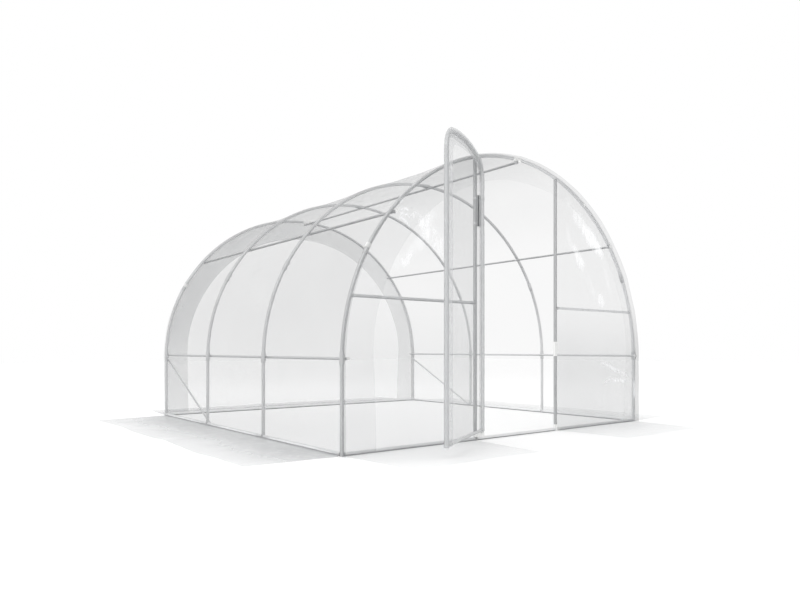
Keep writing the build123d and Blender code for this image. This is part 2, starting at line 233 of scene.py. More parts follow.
class Recipe(Graph):
    """A material while its nodes are put together."""

    def __init__(self, name: str) -> None:
        """Start a material with a bare Principled shader.

        Args:
            name: The material's name.
        """
        self.material = bpy.data.materials.new(name)
        self.material.use_nodes = True
        super().__init__(self.material.node_tree)
        self.shader = self.tree.nodes["Principled BSDF"]

    def dress(self, **inputs: object) -> Material:
        """Feed the shader's sockets.

        Args:
            inputs: A value or link for each socket, with _ for a space in its name.

        Returns:
            The finished material.
        """
        for name, given in inputs.items():
            self.feed(self.shader.inputs[name.replace("_", " ")], given)
        return self.material

    def place(self, stretch: Triple = (1.0, 1.0, 1.0)) -> Socket:
        """Return the place on the piece in metres, multiplied by a stretch along each axis."""
        here = self.node("ShaderNodeTexCoord", {}).outputs["Object"]
        return self.node("ShaderNodeMapping", {"Vector": here, "Scale": stretch}).outputs[0]

    def uv(self) -> tuple[Value, Value]:
        """Return the place in the piece's own UV map, from 0 to 1 each way."""
        return self.split(self.node("ShaderNodeTexCoord", {}).outputs["UV"])[:2]

    def split(self, place: Socket) -> tuple[Value, Value, Value]:
        """Return a place's three parts."""
        parts = self.node("ShaderNodeSeparateXYZ", {"Vector": place}).outputs
        return Value(self, parts[0]), Value(self, parts[1]), Value(self, parts[2])

    def cloud(self, place: Socket, scale: float, detail: float, twist: float = 0.0) -> Value:
        """Return soft noise about 0.5, by its features to the metre, its finer layers and its twist."""
        inputs = {"Vector": place, "Scale": scale, "Detail": detail, "Distortion": twist}
        return Value(self, self.node("ShaderNodeTexNoise", inputs).outputs[0])

    def tint(self, share: Value, first: Triple | Socket, second: Triple) -> Socket:
        """Return a mix of two colours.

        Args:
            share: How much of the second colour shows.
            first: The first colour, or the socket that gives it.
            second: The second colour.

        Returns:
            The mixed colour.
        """
        start = first if isinstance(first, Socket) else (*first, 1.0)
        inputs = {0: share, 6: start, 7: (*second, 1.0)}
        return self.node("ShaderNodeMix", inputs, data_type="RGBA", clamp_factor=True).outputs[2]

    def relief(self, height: Value, depth: float, under: Socket | None = None) -> Socket:
        """Return a bumped normal.

        Args:
            height: The relief, from 0 to 1.
            depth: Its depth in metres.
            under: A normal that it is laid over, if any.

        Returns:
            The normal.
        """
        inputs = {"Height": height, "Distance": depth, "Strength": 1.0}
        if under is not None:
            inputs["Normal"] = under
        return self.node("ShaderNodeBump", inputs).outputs[0]


# ---- finishes ----


@dataclass(frozen=True)
class ZincSteel:
    """Galvanised tube: satin pale grey with painted shade on its underside, faint spangle and drawing marks.
    """

    name: str = "zinc_steel"
    pale: Triple = (0.72, 0.725, 0.73)
    # deep: painted shade, mixed in where the tube faces down
    deep: Triple = (0.30, 0.305, 0.315)
    spangle_scale: float = 130.0
    stain_scale: float = 9.0
    metallic: float = 0.5
    roughness: float = 0.36
    grain_depth: float = 0.05 * MM
    # Painted highlight: how much paler the tube gets towards the right, and the colour it pales to
    painted_right_highlight: float = 0.0
    painted_highlight_colour: Triple = (0.97, 0.975, 0.98)

    def make(self) -> Material:
        """Make the finish, with painted shade underneath, and paler towards the right as painted light on
        the tube and the film round it.

        Returns:
            The material.
        """
        recipe = Recipe(self.name)
        place = recipe.place()
        spangle = recipe.cloud(place, self.spangle_scale, 2.0, 0.6).step(0.38, 0.62)
        stain = recipe.cloud(place, self.stain_scale, 4.0).step(0.35, 0.75)
        # Painted shade: the underside darkens towards deep, mixed with the real spangle and stain
        _, _, upwards = recipe.split(recipe.node("ShaderNodeNewGeometry", {}).outputs["Normal"])
        under = upwards.step(0.15, -0.9)
        colour = recipe.tint(under * 0.8 + spangle * 0.06 + stain * 0.1 - 0.08, self.pale, self.deep)
        # Painted highlight: paler towards the right, for light falling on the tube and the film round it
        if self.painted_right_highlight:
            across, _, _ = recipe.split(place)
            colour = recipe.tint(across.step(-0.5, 0.25) * self.painted_right_highlight, colour, self.painted_highlight_colour)
        marks = recipe.cloud(place, self.spangle_scale * 4, 2.0)
        return recipe.dress(
            Base_Color=colour,
            Metallic=self.metallic,
            Roughness=self.roughness + 0.1 * spangle + 0.12 * stain,
            Normal=recipe.relief(marks * 0.5 + spangle * 0.5, self.grain_depth),
        )


@dataclass(frozen=True)
class Streak:
    """A soft bright streak where a fold of the film catches the light.

    Its middle is given across the tunnel and up, its turn in degrees and its reach both ways.
    """

    across: float
    height: float
    turn: float
    long: float
    wide: float
    strength: float

    def share(self, across: Value, height: Value) -> Value:
        """Return how brightly the streak shows at a place on the film.

        Args:
            across: The place across the tunnel.
            height: The place's height.

        Returns:
            The brightness, from 0 to the streak's strength.
        """
        aside, above = across - self.across, height - self.height
        way = radians(self.turn)
        along = (aside * cos(way) + above * sin(way)) / self.long
        beside = (above * cos(way) - aside * sin(way)) / self.wide
        return (along * along + beside * beside).step(1.0, 0.0) * self.strength


@dataclass(frozen=True)
class ClearFilm:
    """Clear, slightly hazy film with soft creases, and painted highlights: random glints and bright streaks
    in its colour and glow.

    The haze is how much of what lies behind is hidden. It may change from left to right, low down and
    at the crown, and it has its own value where the sheet's ends turn in over the end hoops.
    """

    name: str
    haze: float
    haze_right: float
    shade: Triple = (0.42, 0.43, 0.44)
    # bright: the colour of the painted highlights
    bright: Triple = (0.97, 0.98, 0.99)
    stretch: Triple = (1.0, 1.0, 1.0)
    crease_scale: float = 2.4
    crease_depth: float = 6.0 * MM
    # gleam: how strong the random painted glints are
    gleam: float = 0.35
    hem_haze: float = 0.0
    foot_haze: float = 0.0
    hem_share: float = 0.016
    hem_fade: float = 0.94
    haze_lost_at_hem: float = 0.6
    low_rise: float = 0.0
    crown_rise: float = 0.0
    streaks: tuple[Streak, ...] = ()
    roughness: float = 0.16
    ior: float = 1.46
    glint_cover: float = 0.5
    # glow: how brightly the painted highlights emit light
    glow: float = 0.45

    def make(self) -> Material:
        """Make the finish.

        Returns:
            The material.
        """
        recipe = Recipe(self.name)
        across, _, height = recipe.split(recipe.place())
        place = recipe.place(self.stretch)
        soft = recipe.cloud(place, self.crease_scale, 3.0, 0.8)
        fine = recipe.cloud(place, self.crease_scale * 6, 3.0, 1.0)
        broad = recipe.cloud(recipe.place(), 1.3, 2.0)
        # Painted highlights: random glints from the noise, then the given streaks
        gleam = soft.step(0.56, 0.72) * fine.step(0.34, 0.6) * broad.step(0.42, 0.62) * self.gleam
        bent_across, bent_height = across + (soft - 0.5) * 0.08, height + (fine - 0.5) * 0.1
        streaks = sum(streak.share(bent_across, bent_height) for streak in self.streaks)
        # The streaks' painted highlights, broken up by fine noise
        folds = (fine.step(0.36, 0.56) * 0.75 + 0.25) * streaks
        margin = self._margin(recipe) if self.hem_haze else None
        gleam = (gleam + (folds if margin is None else folds * margin)).least(1.0)
        bent = recipe.relief(soft, self.crease_depth)
        haze = self.haze + (self.haze_right - self.haze) * across.step(-0.35, 0.6)
        rise = 1 + self.low_rise * height.step(1.0, 0.4) + self.crown_rise * height.step(1.45, 1.9)
        haze = haze * (0.8 + 0.4 * broad) * rise
        if margin is not None:
            foot = self.foot_haze * across.step(0.9, 1.35) * height.step(1.1, 0.6)
            haze = haze * (1 - self.haze_lost_at_hem * margin) + (foot + self.hem_haze) * margin
        # Painted highlights turn the colour bright, glow as emission and hide more of what lies behind
        lit = gleam * self.glint_cover
        alpha = haze + lit
        share = lit / alpha
        return recipe.dress(
            Base_Color=recipe.tint(share, self.shade, self.bright),
            Emission_Color=recipe.tint(share, (0.0, 0.0, 0.0), self.bright),
            Emission_Strength=self.glow,
            Roughness=self.roughness + 0.18 * fine,
            IOR=self.ior,
            Alpha=alpha,
            Normal=recipe.relief(fine, self.crease_depth / 12, bent),
        )

    def _margin(self, recipe: Recipe) -> Value:
        """Return the sheet's two end margins.

        Args:
            recipe: The material that is made.

        Returns:
            1 in the margins and 0 between them.
        """
        _, along = recipe.uv()
        wide, full = self.hem_share, self.hem_share * self.hem_fade
        return along.step(wide, full) + along.step(1 - wide, 1 - full)


@dataclass(frozen=True)
class LaidFilm:
    """Film lying on the ground: grey near the wall and clearer towards its free edge."""

    name: str = "laid_film"
    haze_near: float = 0.50
    haze_far: float = 0.21
    shade: Triple = (0.46, 0.47, 0.48)
    bright: Triple = (0.85, 0.86, 0.87)
    roughness: float = 0.25
    crease_depth: float = 5 * MM

    def make(self) -> Material:
        """Make the finish.

        Returns:
            The material.
        """
        recipe = Recipe(self.name)
        _, outward = recipe.uv()
        place = recipe.place()
        soft = recipe.cloud(place, 2.2, 3.0, 0.7)
        fine = recipe.cloud(place, 14.0, 3.0, 1.0)
        haze = self.haze_near + (self.haze_far - self.haze_near) * outward.step(0.1, 1.0)
        return recipe.dress(
            Base_Color=recipe.tint(fine.step(0.45, 0.75) * 0.35, self.shade, self.bright),
            Roughness=self.roughness + 0.2 * fine,
            Alpha=haze * (0.6 + 0.8 * soft),
            Normal=recipe.relief(soft * 0.7 + fine * 0.3, self.crease_depth),
        )


@dataclass(frozen=True)
class MouldedPlastic:
    """Moulded plastic with a fine eggshell grain."""

    name: str
    colour: Triple
    worn: Triple
    roughness: float = 0.42
    grain_scale: float = 900.0
    grain_depth: float = 0.04 * MM
    scuff_scale: float = 45.0

    def make(self) -> Material:
        """Make the finish.

        Returns:
            The material.
        """
        recipe = Recipe(self.name)
        place = recipe.place()
        grain = recipe.cloud(place, self.grain_scale, 2.0)
        scuff = recipe.cloud(place, self.scuff_scale, 4.0).step(0.52, 0.8)
        return recipe.dress(
            Base_Color=recipe.tint(scuff * 0.6, self.colour, self.worn),
            Roughness=self.roughness + 0.15 * scuff,
            Normal=recipe.relief(grain, self.grain_depth),
        )


@dataclass(frozen=True)
class PaleGround:
    """A plain pale studio floor."""

    name: str = "pale_ground"
    colour: Triple = (0.97, 0.97, 0.97)
    brighter: float = 1.02
    roughness: float = 0.9
    glow: float = 0.09

    def make(self) -> Material:
        """Make the finish.

        Returns:
            The material.
        """
        recipe = Recipe(self.name)
        cloud = recipe.cloud(recipe.place(), 1.5, 2.0)
        paler = tuple(min(1.0, part * self.brighter) for part in self.colour)
        return recipe.dress(
            Base_Color=recipe.tint(cloud, self.colour, paler),
            Roughness=self.roughness,
            Emission_Color=(1.0, 1.0, 1.0, 1.0),
            Emission_Strength=self.glow,
        )


# Painted highlights: bright streaks on the front sheets, the cover's end margins and the door film.
FRONT_STREAKS = (
    Streak(0.6, 1.76, -46, 0.08, 0.025, 0.4),
    Streak(0.72, 1.64, -48, 0.16, 0.07, 0.5),
    Streak(0.88, 1.51, -40, 0.19, 0.08, 0.8),
    Streak(0.98, 1.43, -55, 0.1, 0.045, 0.6),
    Streak(0.58, 1.5, -72, 0.1, 0.035, 0.25),
    Streak(0.7, 1.35, -50, 0.15, 0.05, 0.7),
    Streak(0.88, 1.13, -62, 0.13, 0.03, 0.35),
    Streak(1.01, 1.02, -80, 0.08, 0.05, 0.65),
    Streak(1.1, 1.2, -70, 0.18, 0.03, 0.25),
    Streak(1.2, 0.46, -19, 0.26, 0.02, 0.6),
    Streak(1.25, 0.362, -2, 0.2, 0.022, 0.65),
    Streak(1.485, 0.28, -88, 0.11, 0.028, 1.0),
    Streak(-1.045, 1.5, 6, 0.075, 0.012, 1.0),
    Streak(-1.05, 1.462, -8, 0.085, 0.014, 1.0),
    Streak(-1.05, 1.425, -34, 0.07, 0.012, 0.9),
    Streak(-1.085, 1.535, 42, 0.07, 0.01, 0.7),
    Streak(-0.96, 1.47, 12, 0.05, 0.03, 0.8),
    Streak(-0.86, 1.46, 30, 0.12, 0.05, 0.5),
    Streak(-0.8, 1.34, -42, 0.2, 0.08, 0.6),
    Streak(-0.93, 1.3, 40, 0.16, 0.05, 0.4),
    Streak(-1.05, 1.18, 30, 0.12, 0.05, 0.5),
)
COVER_STREAKS = (
    Streak(-0.09, 1.985, 2, 0.03, 0.03, 0.9),
    Streak(-0.01, 1.99, 10, 0.045, 0.02, 1.0),
    Streak(0.09, 1.985, -12, 0.05, 0.03, 1.0),
    Streak(0.17, 1.975, -8, 0.02, 0.03, 0.7),
    Streak(0.42, 1.93, -16, 0.05, 0.02, 0.6),
    Streak(0.86, 1.7, -40, 0.08, 0.02, 0.6),
)
DOOR_STREAKS = (
    Streak(-1.0, 1.66, 80, 0.02, 0.012, 1.0),
    Streak(-0.975, 1.635, -60, 0.035, 0.006, 0.7),
    Streak(-0.995, 1.137, 80, 0.022, 0.012, 0.8),
)
HANGING = (2.2, 1.0, 0.5)
FINE_CREASES = 1.5 * MM


class Finishes:
    """The finished materials, made once."""

    def __init__(self) -> None:
        """Make the materials."""
        self.steel = ZincSteel().make()
        # A darker copy of the same steel, for the posts, the purlins and the ridge purlin.
        self.darker_steel = ZincSteel("darker_zinc_steel", (0.52, 0.525, 0.53), (0.22, 0.225, 0.235)).make()
        # Painted highlight towards the right: the copy of the steel for the front hoop and the end rails.
        self.front_steel_lit_right = ZincSteel("front_zinc_steel_lit_right", painted_right_highlight=0.5).make()
        # Painted highlight on top and painted shadow underneath: the copy of the steel for the base rails.
        self.lit_base_steel = ZincSteel("lit_base_zinc_steel", (0.92, 0.925, 0.93), (0.12, 0.125, 0.135)).make()
        self.cover = ClearFilm(
            "cover_film",
            0.205,
            0.07,
            shade=(0.16, 0.165, 0.17),
            stretch=(1.0, 0.5, 1.0),
            gleam=0.12,
            hem_haze=0.15,
            foot_haze=0.17,
            low_rise=-0.15,
            crown_rise=0.8,
            streaks=COVER_STREAKS,
        ).make()
        self.front = ClearFilm(
            "front_film", 0.07, 0.14, stretch=HANGING, gleam=0.1, low_rise=1.6, streaks=FRONT_STREAKS
        ).make()
        self.back = ClearFilm("back_film", 0.13, 0.12, stretch=HANGING, gleam=0.1).make()
        self.front_hem = ClearFilm("front_hem_film", 0.10, 0.06, gleam=0.1, crease_depth=FINE_CREASES).make()
        self.back_hem = ClearFilm(
            "back_hem_film", 0.40, 0.28, gleam=0.05, low_rise=-0.3, crease_depth=FINE_CREASES
        ).make()
        self.door = ClearFilm(
            "door_film", 0.27, 0.27, stretch=(4.0, 4.0, 0.6), gleam=0.15, streaks=DOOR_STREAKS
        ).make()
        self.door_hem = ClearFilm(
            "door_hem_film", 0.42, 0.42, shade=(0.62, 0.63, 0.64), gleam=0.3, crease_scale=7.0
        ).make()
        self.laid = LaidFilm().make()
        self.laid_thin = LaidFilm("laid_film_thin", 0.18, 0.09).make()
        self.white = MouldedPlastic("white_plastic", (0.94, 0.94, 0.93), (0.84, 0.84, 0.82)).make()
        self.dark = MouldedPlastic("dark_plastic", (0.10, 0.105, 0.11), (0.2, 0.2, 0.21)).make()
        self.ground = PaleGround().make()


# ---- modelling helpers ----


def deselect() -> None:
    """Leave nothing selected."""
    for piece in bpy.context.selected_objects:
        piece.select_set(False)


def take(*pieces: Piece) -> Piece:
    """Select pieces alone, with the first as the active one.

    Args:
        pieces: What to select.

    Returns:
        The first piece.
    """
    deselect()
    for piece in pieces:
        piece.select_set(True)
    bpy.context.view_layer.objects.active = pieces[0]
    return pieces[0]


@contextmanager
def editing(piece: Piece, mode: SelectMode = SelectMode.VERTEX) -> Iterator[None]:
    """Work on a whole piece in edit mode, and leave edit mode afterwards.

    Args:
        piece: The piece, all of which is selected.
        mode: What is selected there.
    """
    take(piece)
    bpy.ops.object.mode_set(mode="EDIT")
    bpy.ops.mesh.select_mode(type=mode.value)
    bpy.ops.mesh.select_all(action="SELECT")
    yield
    bpy.ops.object.mode_set(mode="OBJECT")


def turn_to(direction: Vector) -> Triple:
    """Return the turn that brings +Z to a direction, for a new primitive."""
    return tuple(UP.rotation_difference(direction).to_euler())


def name_it(name: str) -> Piece:
    """Name the new primitive and put its place into its mesh.

    Args:
        name: The piece's name.

    Returns:
        The piece.
    """
    piece = bpy.context.object
    piece.name = piece.data.name = name
    take(piece)
    bpy.ops.object.transform_apply(location=True, rotation=True, scale=True)
    return piece


def modify(piece: Piece, kind: str, **settings: object) -> None:
    """Add one modifier and apply it.

    Args:
        piece: The piece.
        kind: The modifier's type.
        settings: Its settings.
    """
    take(piece)
    modifier = piece.modifiers.new(kind.title(), kind)
    for name, setting in settings.items():
        setattr(modifier, name, setting)
    bpy.ops.object.modifier_apply(modifier=modifier.name)


def tidy_shell(piece: Piece) -> None:
    """Merge a piece's doubles and point its faces outwards.

    Args:
        piece: The piece.
    """
    with editing(piece):
        bpy.ops.mesh.remove_doubles(threshold=MERGE_DISTANCE)
        bpy.ops.mesh.normals_make_consistent(inside=False)


def smooth(piece: Piece, angle: float = radians(35)) -> None:
    """Shade a piece smooth, with its sharper edges kept."""
    take(piece)
    bpy.ops.object.shade_smooth_by_angle(angle=angle)


def pull(run: Vector) -> None:
    """Extrude what is selected in edit mode."""
    bpy.ops.mesh.extrude_region_move(TRANSFORM_OT_translate={"value": tuple(run)})


def widen(factor: float) -> None:
    """Scale what is selected in edit mode about the Z axis, at its own height."""
    bpy.ops.transform.resize(value=(factor, factor, 1), center_override=(0, 0, 0))


def join(name: str, pieces: Sequence[Piece]) -> Piece:
    """Make several meshes one piece.

    Args:
        name: The piece's name.
        pieces: What to join.

    Returns:
        The piece.
    """
    whole = take(*pieces)
    if len(pieces) > 1:
        bpy.ops.object.join()
    whole.name = whole.data.name = name
    return whole


def copy_to(pattern: Piece, moves: Sequence[Matrix]) -> list[Piece]:
    """Copy a pattern piece, each copy with its own mesh, and throw the pattern away.

    Args:
        pattern: The piece to copy.
        moves: Where each copy goes.

    Returns:
        The copies.
    """
    copies = []
    for move in moves:
        double = pattern.copy()
        double.data = pattern.data.copy()
        double.data.transform(move)
        bpy.context.scene.collection.objects.link(double)
        copies.append(double)
    bpy.data.meshes.remove(pattern.data)
    return copies


def place_on(place: Vector, direction: Vector) -> Matrix:
    """Return the move that stands a piece modelled on +Z on a place, along a direction."""
    return Matrix.Translation(place) @ UP.rotation_difference(direction).to_matrix().to_4x4()


def settle(
    piece: Piece, finish: Material, slot: Slot, nodes: Sequence[str] = (), body: Body = Body.TUNNEL
) -> None:
    """Dress a finished piece, hang it on its body and report it.

    Args:
        piece: The piece.
        finish: Its material.
        slot: The record's slot that it takes its finish from.
        nodes: The frame's nodes that it stands for.
        body: The body that it rides on.
    """
    piece.data.materials.clear()
    piece.data.materials.append(finish)
    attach(piece, body.value)
    if nodes:
        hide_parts(*nodes)
    LOG.info("%s: %d faces on %s", piece.name, len(piece.data.polygons), body.value)


# ---- sizes read from the frame ----

HOOP_NAMES = ("front", "second", "third", "back")
LONG_NODES = ("side_rail_left", "side_rail_right", "purlin_left", "purlin_right", "ridge_purlin")


def middle_of(node: str) -> Vector:
    """Return the middle of a node's box."""
    low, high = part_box(node)
    return (low + high) / 2


def half_height(node: str) -> float:
    """Return half the height of a node's box."""
    low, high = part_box(node)
    return (high.z - low.z) / 2


def upright(place: Pair, along: float = 0.0) -> Vector:
    """Return the point at a place across and up."""
    return Vector((place[0], along, place[1]))


@dataclass(frozen=True)
class Arch:
    """A hoop's centre line: a straight leg, a lower bend and a rib on each side."""

    half_width: float
    leg_height: float
    crown: float
    coupling_angle: float = radians(29.5)

    @property
    def radius_step(self) -> float:
        """Return how much larger the rib's radius is than the bend's."""
        rise = self.crown - self.leg_height
        return (self.half_width - rise) / (cos(self.coupling_angle) + sin(self.coupling_angle) - 1)

    @property
    def bend_radius(self) -> float:
        """Return the lower bend's radius."""
        return self.half_width - self.radius_step * cos(self.coupling_angle)

    @property
    def rib_radius(self) -> float:
        """Return the rib's radius."""
        return self.bend_radius + self.radius_step

    @property
    def bend_centre(self) -> Pair:
        """Return the right bend's centre, across and up."""
        return self.half_width - self.bend_radius, self.leg_height

    @property
    def rib_centre(self) -> Pair:
        """Return the ribs' centre, across and up."""
        return 0.0, self.leg_height - self.radius_step * sin(self.coupling_angle)

    @property
    def stretches(self) -> Triple:
        """Return the lengths of a leg, a bend and half the ribs."""
        bend = self.bend_radius * self.coupling_angle
        return self.leg_height, bend, self.rib_radius * (pi / 2 - self.coupling_angle)

    @property
    def length(self) -> float:
        """Return the whole length from foot to foot."""
        return 2 * sum(self.stretches)

    def at(self, along: float, offset: float = 0.0) -> Pair:
        """Return a place on the arch, or beside it.

        Args:
            along: The distance from the left foot, along the centre line.
            offset: How far outside the centre line.

        Returns:
            The place across and up.
        """
        from_middle = along - self.length / 2
        side = 1 if from_middle > 0 else -1
        rest = abs(from_middle)
        _, bend, rib = self.stretches
        if rest < rib:
            angle = pi / 2 - rest / self.rib_radius
            (centre_x, centre_z), radius = self.rib_centre, self.rib_radius
        elif rest < rib + bend:
            angle = self.coupling_angle - (rest - rib) / self.bend_radius
            (centre_x, centre_z), radius = self.bend_centre, self.bend_radius
        else:
            return side * (self.half_width + offset), self.leg_height - (rest - rib - bend)
        reach = radius + offset
        return side * (centre_x + reach * cos(angle)), centre_z + reach * sin(angle)

    def top(self, across: float, offset: float = 0.0) -> float:
        """Return how high the arch, or a line outside it, stands over a place across.

        Args:
            across: The place across.
            offset: How far outside the centre line.

        Returns:
            The height.
        """
        reach = min(abs(across), self.half_width + offset)
        if reach < (self.rib_radius + offset) * cos(self.coupling_angle):
            (centre_x, centre_z), radius = self.rib_centre, self.rib_radius + offset
        else:
            (centre_x, centre_z), radius = self.bend_centre, self.bend_radius + offset
        return centre_z + sqrt(max(0.0, radius**2 - (reach - centre_x) ** 2))

    def out(self, along: float) -> Vector:
        """Return the direction straight out of the arch at a place along it."""
        return upright(self.at(along, 1.0)) - upright(self.at(along))


@dataclass(frozen=True)
class Straight:
    """A straight tube of the frame, with its two ends and its radius."""

    start: Vector
    end: Vector
    radius: float

    @classmethod
    def from_node(cls, node: str, axis: int) -> "Straight":
        """Read a tube that runs along one axis.

        Args:
            node: The frame's node.
            axis: 0, 1 or 2 for X, Y or Z.

        Returns:
            The tube.
        """
        low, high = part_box(node)
        other = (axis + 1) % 3
        start, end = middle_of(node), middle_of(node)
        start[axis], end[axis] = low[axis], high[axis]
        return cls(start, end, (high[other] - low[other]) / 2)


@dataclass(frozen=True)
class Sizes:
    """What the pieces need to know of the frame."""

    arch: Arch
    half_length: float
    bay: float
    hoop_radius: float
    sleeve_radius: float

    @classmethod
    def read(cls) -> "Sizes":
        """Read the sizes from the frame's boxes.

        Returns:
            The sizes.
        """
        legs_low, legs_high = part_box("hoop_front_legs")
        radius = (legs_high.y - legs_low.y) / 2
        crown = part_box("hoop_front_ribs")[1].z - radius
        half_length = -(legs_low.y + legs_high.y) / 2
        arch = Arch(legs_high.x - radius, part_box("cover_left_wall")[1].z, crown)
        return cls(
            arch=arch,
            half_length=half_length,
            bay=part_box("hoop_second_legs")[0].y - legs_low.y,
            hoop_radius=radius,
            sleeve_radius=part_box("leg_sleeves")[1].y - half_length,
        )

    @property
    def stations(self) -> list[float]:
        """Return the places of the hoops along the tunnel."""
        count = round(2 * self.half_length / self.bay)
        return [-self.half_length + step * self.bay for step in range(count + 1)]


@dataclass(frozen=True)
class DoorPlane:
    """The door's own plane as it stands open: across from the hinge, up, and out of its outer face.

    In it the door is as wide as its stiles' middles are apart, and its top is an arc that meets each
    stile in a smaller bend.
    """

    hinge: Vector
    across: Vector
    out: Vector
    width: float
    crown: float
    arch_centre: float
    corner: float = 130 * MM

    @classmethod
    def read(cls, arch: Arch, joint: Mapping[str, object], radius: float) -> "DoorPlane":
        """Read the door's place from its joint and its frame's box.

        Args:
            arch: The hoop's centre line, which the door's top runs beside.
            joint: The door's hinge.
            radius: The radius of the door's tube.

        Returns:
            The door's plane.
        """
        hinge = Vector(joint["pos_m"])
        low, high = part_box("door_frame")
        free = Vector((low.x + radius, low.y + radius, 0.0))
        across = Vector((free.x - hinge.x, free.y - hinge.y, 0.0))
        width = across.length
        across.normalize()
        out = Vector((across.y, -across.x, 0.0))
        return cls(hinge, across, out, width, high.z - radius, arch.rib_centre[1])

    def at(self, across: float, up: float, out: float = 0.0) -> Vector:
        """Return a place in the door's plane, or in front of it."""
        foot = Vector((self.hinge.x, self.hinge.y, 0.0))
        return foot + across * self.across + UP * up + out * self.out

    @property
    def hinge_post(self) -> tuple[Vector, Vector]:
        """Return the hinge post's middle and the level way from it to the hinge line."""
        post = middle_of("door_post_left")
        return post, Vector((self.hinge.x - post.x, self.hinge.y - post.y, 0.0))

    @property
    def arch_radius(self) -> float:
        """Return the radius of the door's top."""
        return self.crown - self.arch_centre

    @property
    def corner_height(self) -> float:
        """Return where the corners' bends start."""
        reach = self.arch_radius - self.corner
        return self.arch_centre + sqrt(reach**2 - (self.width / 2 - self.corner) ** 2)

    @property
    def arch_start(self) -> float:
        """Return the angle at which the top meets the corner's bend."""
        return atan2(self.corner_height - self.arch_centre, self.width / 2 - self.corner)

    def outline(self, along: float, foot: float) -> tuple[Vector, Vector]:
        """Return a place on the door's outline and the direction out of it, in the door's plane.

        Args:
            along: From 0 at the hinge stile's foot to 1 at the free stile's foot.
            foot: The height of the stiles' feet.

        Returns:
            The place as across and up, and the outward direction likewise.
        """
        stile, bend, top = self.stretches(foot)
        rest = along * self.run(foot)
        mirrored = rest > stile + bend + top / 2
        if mirrored:
            rest = self.run(foot) - rest
        if rest < stile:
            place, out = Vector((0.0, foot + rest)), Vector((-1.0, 0.0))
        elif rest < stile + bend:
            angle = pi - (rest - stile) / self.corner
            out = Vector((cos(angle), sin(angle)))
            place = Vector((self.corner, self.corner_height)) + self.corner * out
        else:
            angle = pi - self.arch_start - (rest - stile - bend) / self.arch_radius
            out = Vector((cos(angle), sin(angle)))
            place = Vector((self.width / 2, self.arch_centre)) + self.arch_radius * out
        if mirrored:
            place.x, out.x = self.width - place.x, -out.x
        return place, out

    def stretches(self, foot: float) -> Triple:
        """Return the lengths of a stile above its foot, of a corner's bend and of the top."""
        top = self.arch_radius * (pi - 2 * self.arch_start)
        return self.corner_height - foot, self.corner * self.arch_start, top

    def run(self, foot: float) -> float:
        """Return the outline's length from foot to foot."""
        stile, bend, top = self.stretches(foot)
        return 2 * stile + 2 * bend + top


# ---- tubes ----


@dataclass
class TubeShaper:
    """Models round tubes by pulling a ring along straights and round bends."""

    sides: int = 24
    bend_step: float = radians(2.5)

    def start(self, name: str, place: Vector, direction: Vector, radius: float) -> Piece:
        """Start a tube with a ring across its first end, and leave the ring selected in edit mode.

        Args:
            name: The piece's name.
            place: The middle of the first end.
            direction: Which way the tube leaves it.
            radius: The tube's outer radius.

        Returns:
            The piece.
        """
        deselect()
        bpy.ops.mesh.primitive_circle_add(
            vertices=self.sides, radius=radius, location=place, rotation=turn_to(direction)
        )
        ring = name_it(name)
        bpy.ops.object.mode_set(mode="EDIT")
        bpy.ops.mesh.select_mode(type=SelectMode.VERTEX.value)
        bpy.ops.mesh.select_all(action="SELECT")
        return ring

    def bend(self, centre: Vector, axis: Vector, angle: float) -> None:
        """Pull the selected ring round a centre, by the right-hand rule about an axis."""
        steps = max(1, round(abs(angle) / self.bend_step))
        bpy.ops.mesh.spin(steps=steps, angle=-angle, center=tuple(centre), axis=tuple(axis))

    def finish(self, piece: Piece, wall: float, mirrored: bool = False) -> Piece:
        """Leave edit mode and give the tube its wall.

        Args:
            piece: The tube.
            wall: The wall's thickness.
            mirrored: Whether the tube has a twin across the tunnel.

        Returns:
            The tube.
        """
        bpy.ops.object.mode_set(mode="OBJECT")
        if mirrored:
            modify(piece, "MIRROR", use_axis=(True, False, False), use_mirror_merge=False)
        tidy_shell(piece)
        modify(piece, "SOLIDIFY", thickness=wall, offset=-1.0)
        smooth(piece)
        return piece

    def pipe(self, name: str, tube: Straight, wall: float, mirrored: bool = False) -> Piece:
        """Return a straight tube with its wall.

        Args:
            name: The piece's name.
            tube: Its ends and its outer radius.
            wall: The wall's thickness.
            mirrored: Whether the tube has a twin across the tunnel.

        Returns:
            The tube.
        """
        run = tube.end - tube.start
        piece = self.start(name, tube.start, run, tube.radius)
        pull(run)
        return self.finish(piece, wall, mirrored)


@dataclass
class Assembly:
    """What every sub-assembly is made from."""

    sizes: Sizes
    finishes: Finishes
    shaper: TubeShaper
    plane: DoorPlane

    def build(self) -> None:
        """Make the pieces, each settled on its body."""
        raise NotImplementedError

    def lay(self, node: str, tube: Straight, wall: float, finish: Material, slot: Slot) -> None:
        """Make the round tube that stands for a straight node of the tunnel."""
        settle(self.shaper.pipe(f"{node}_round", tube, wall), finish, slot, [node])


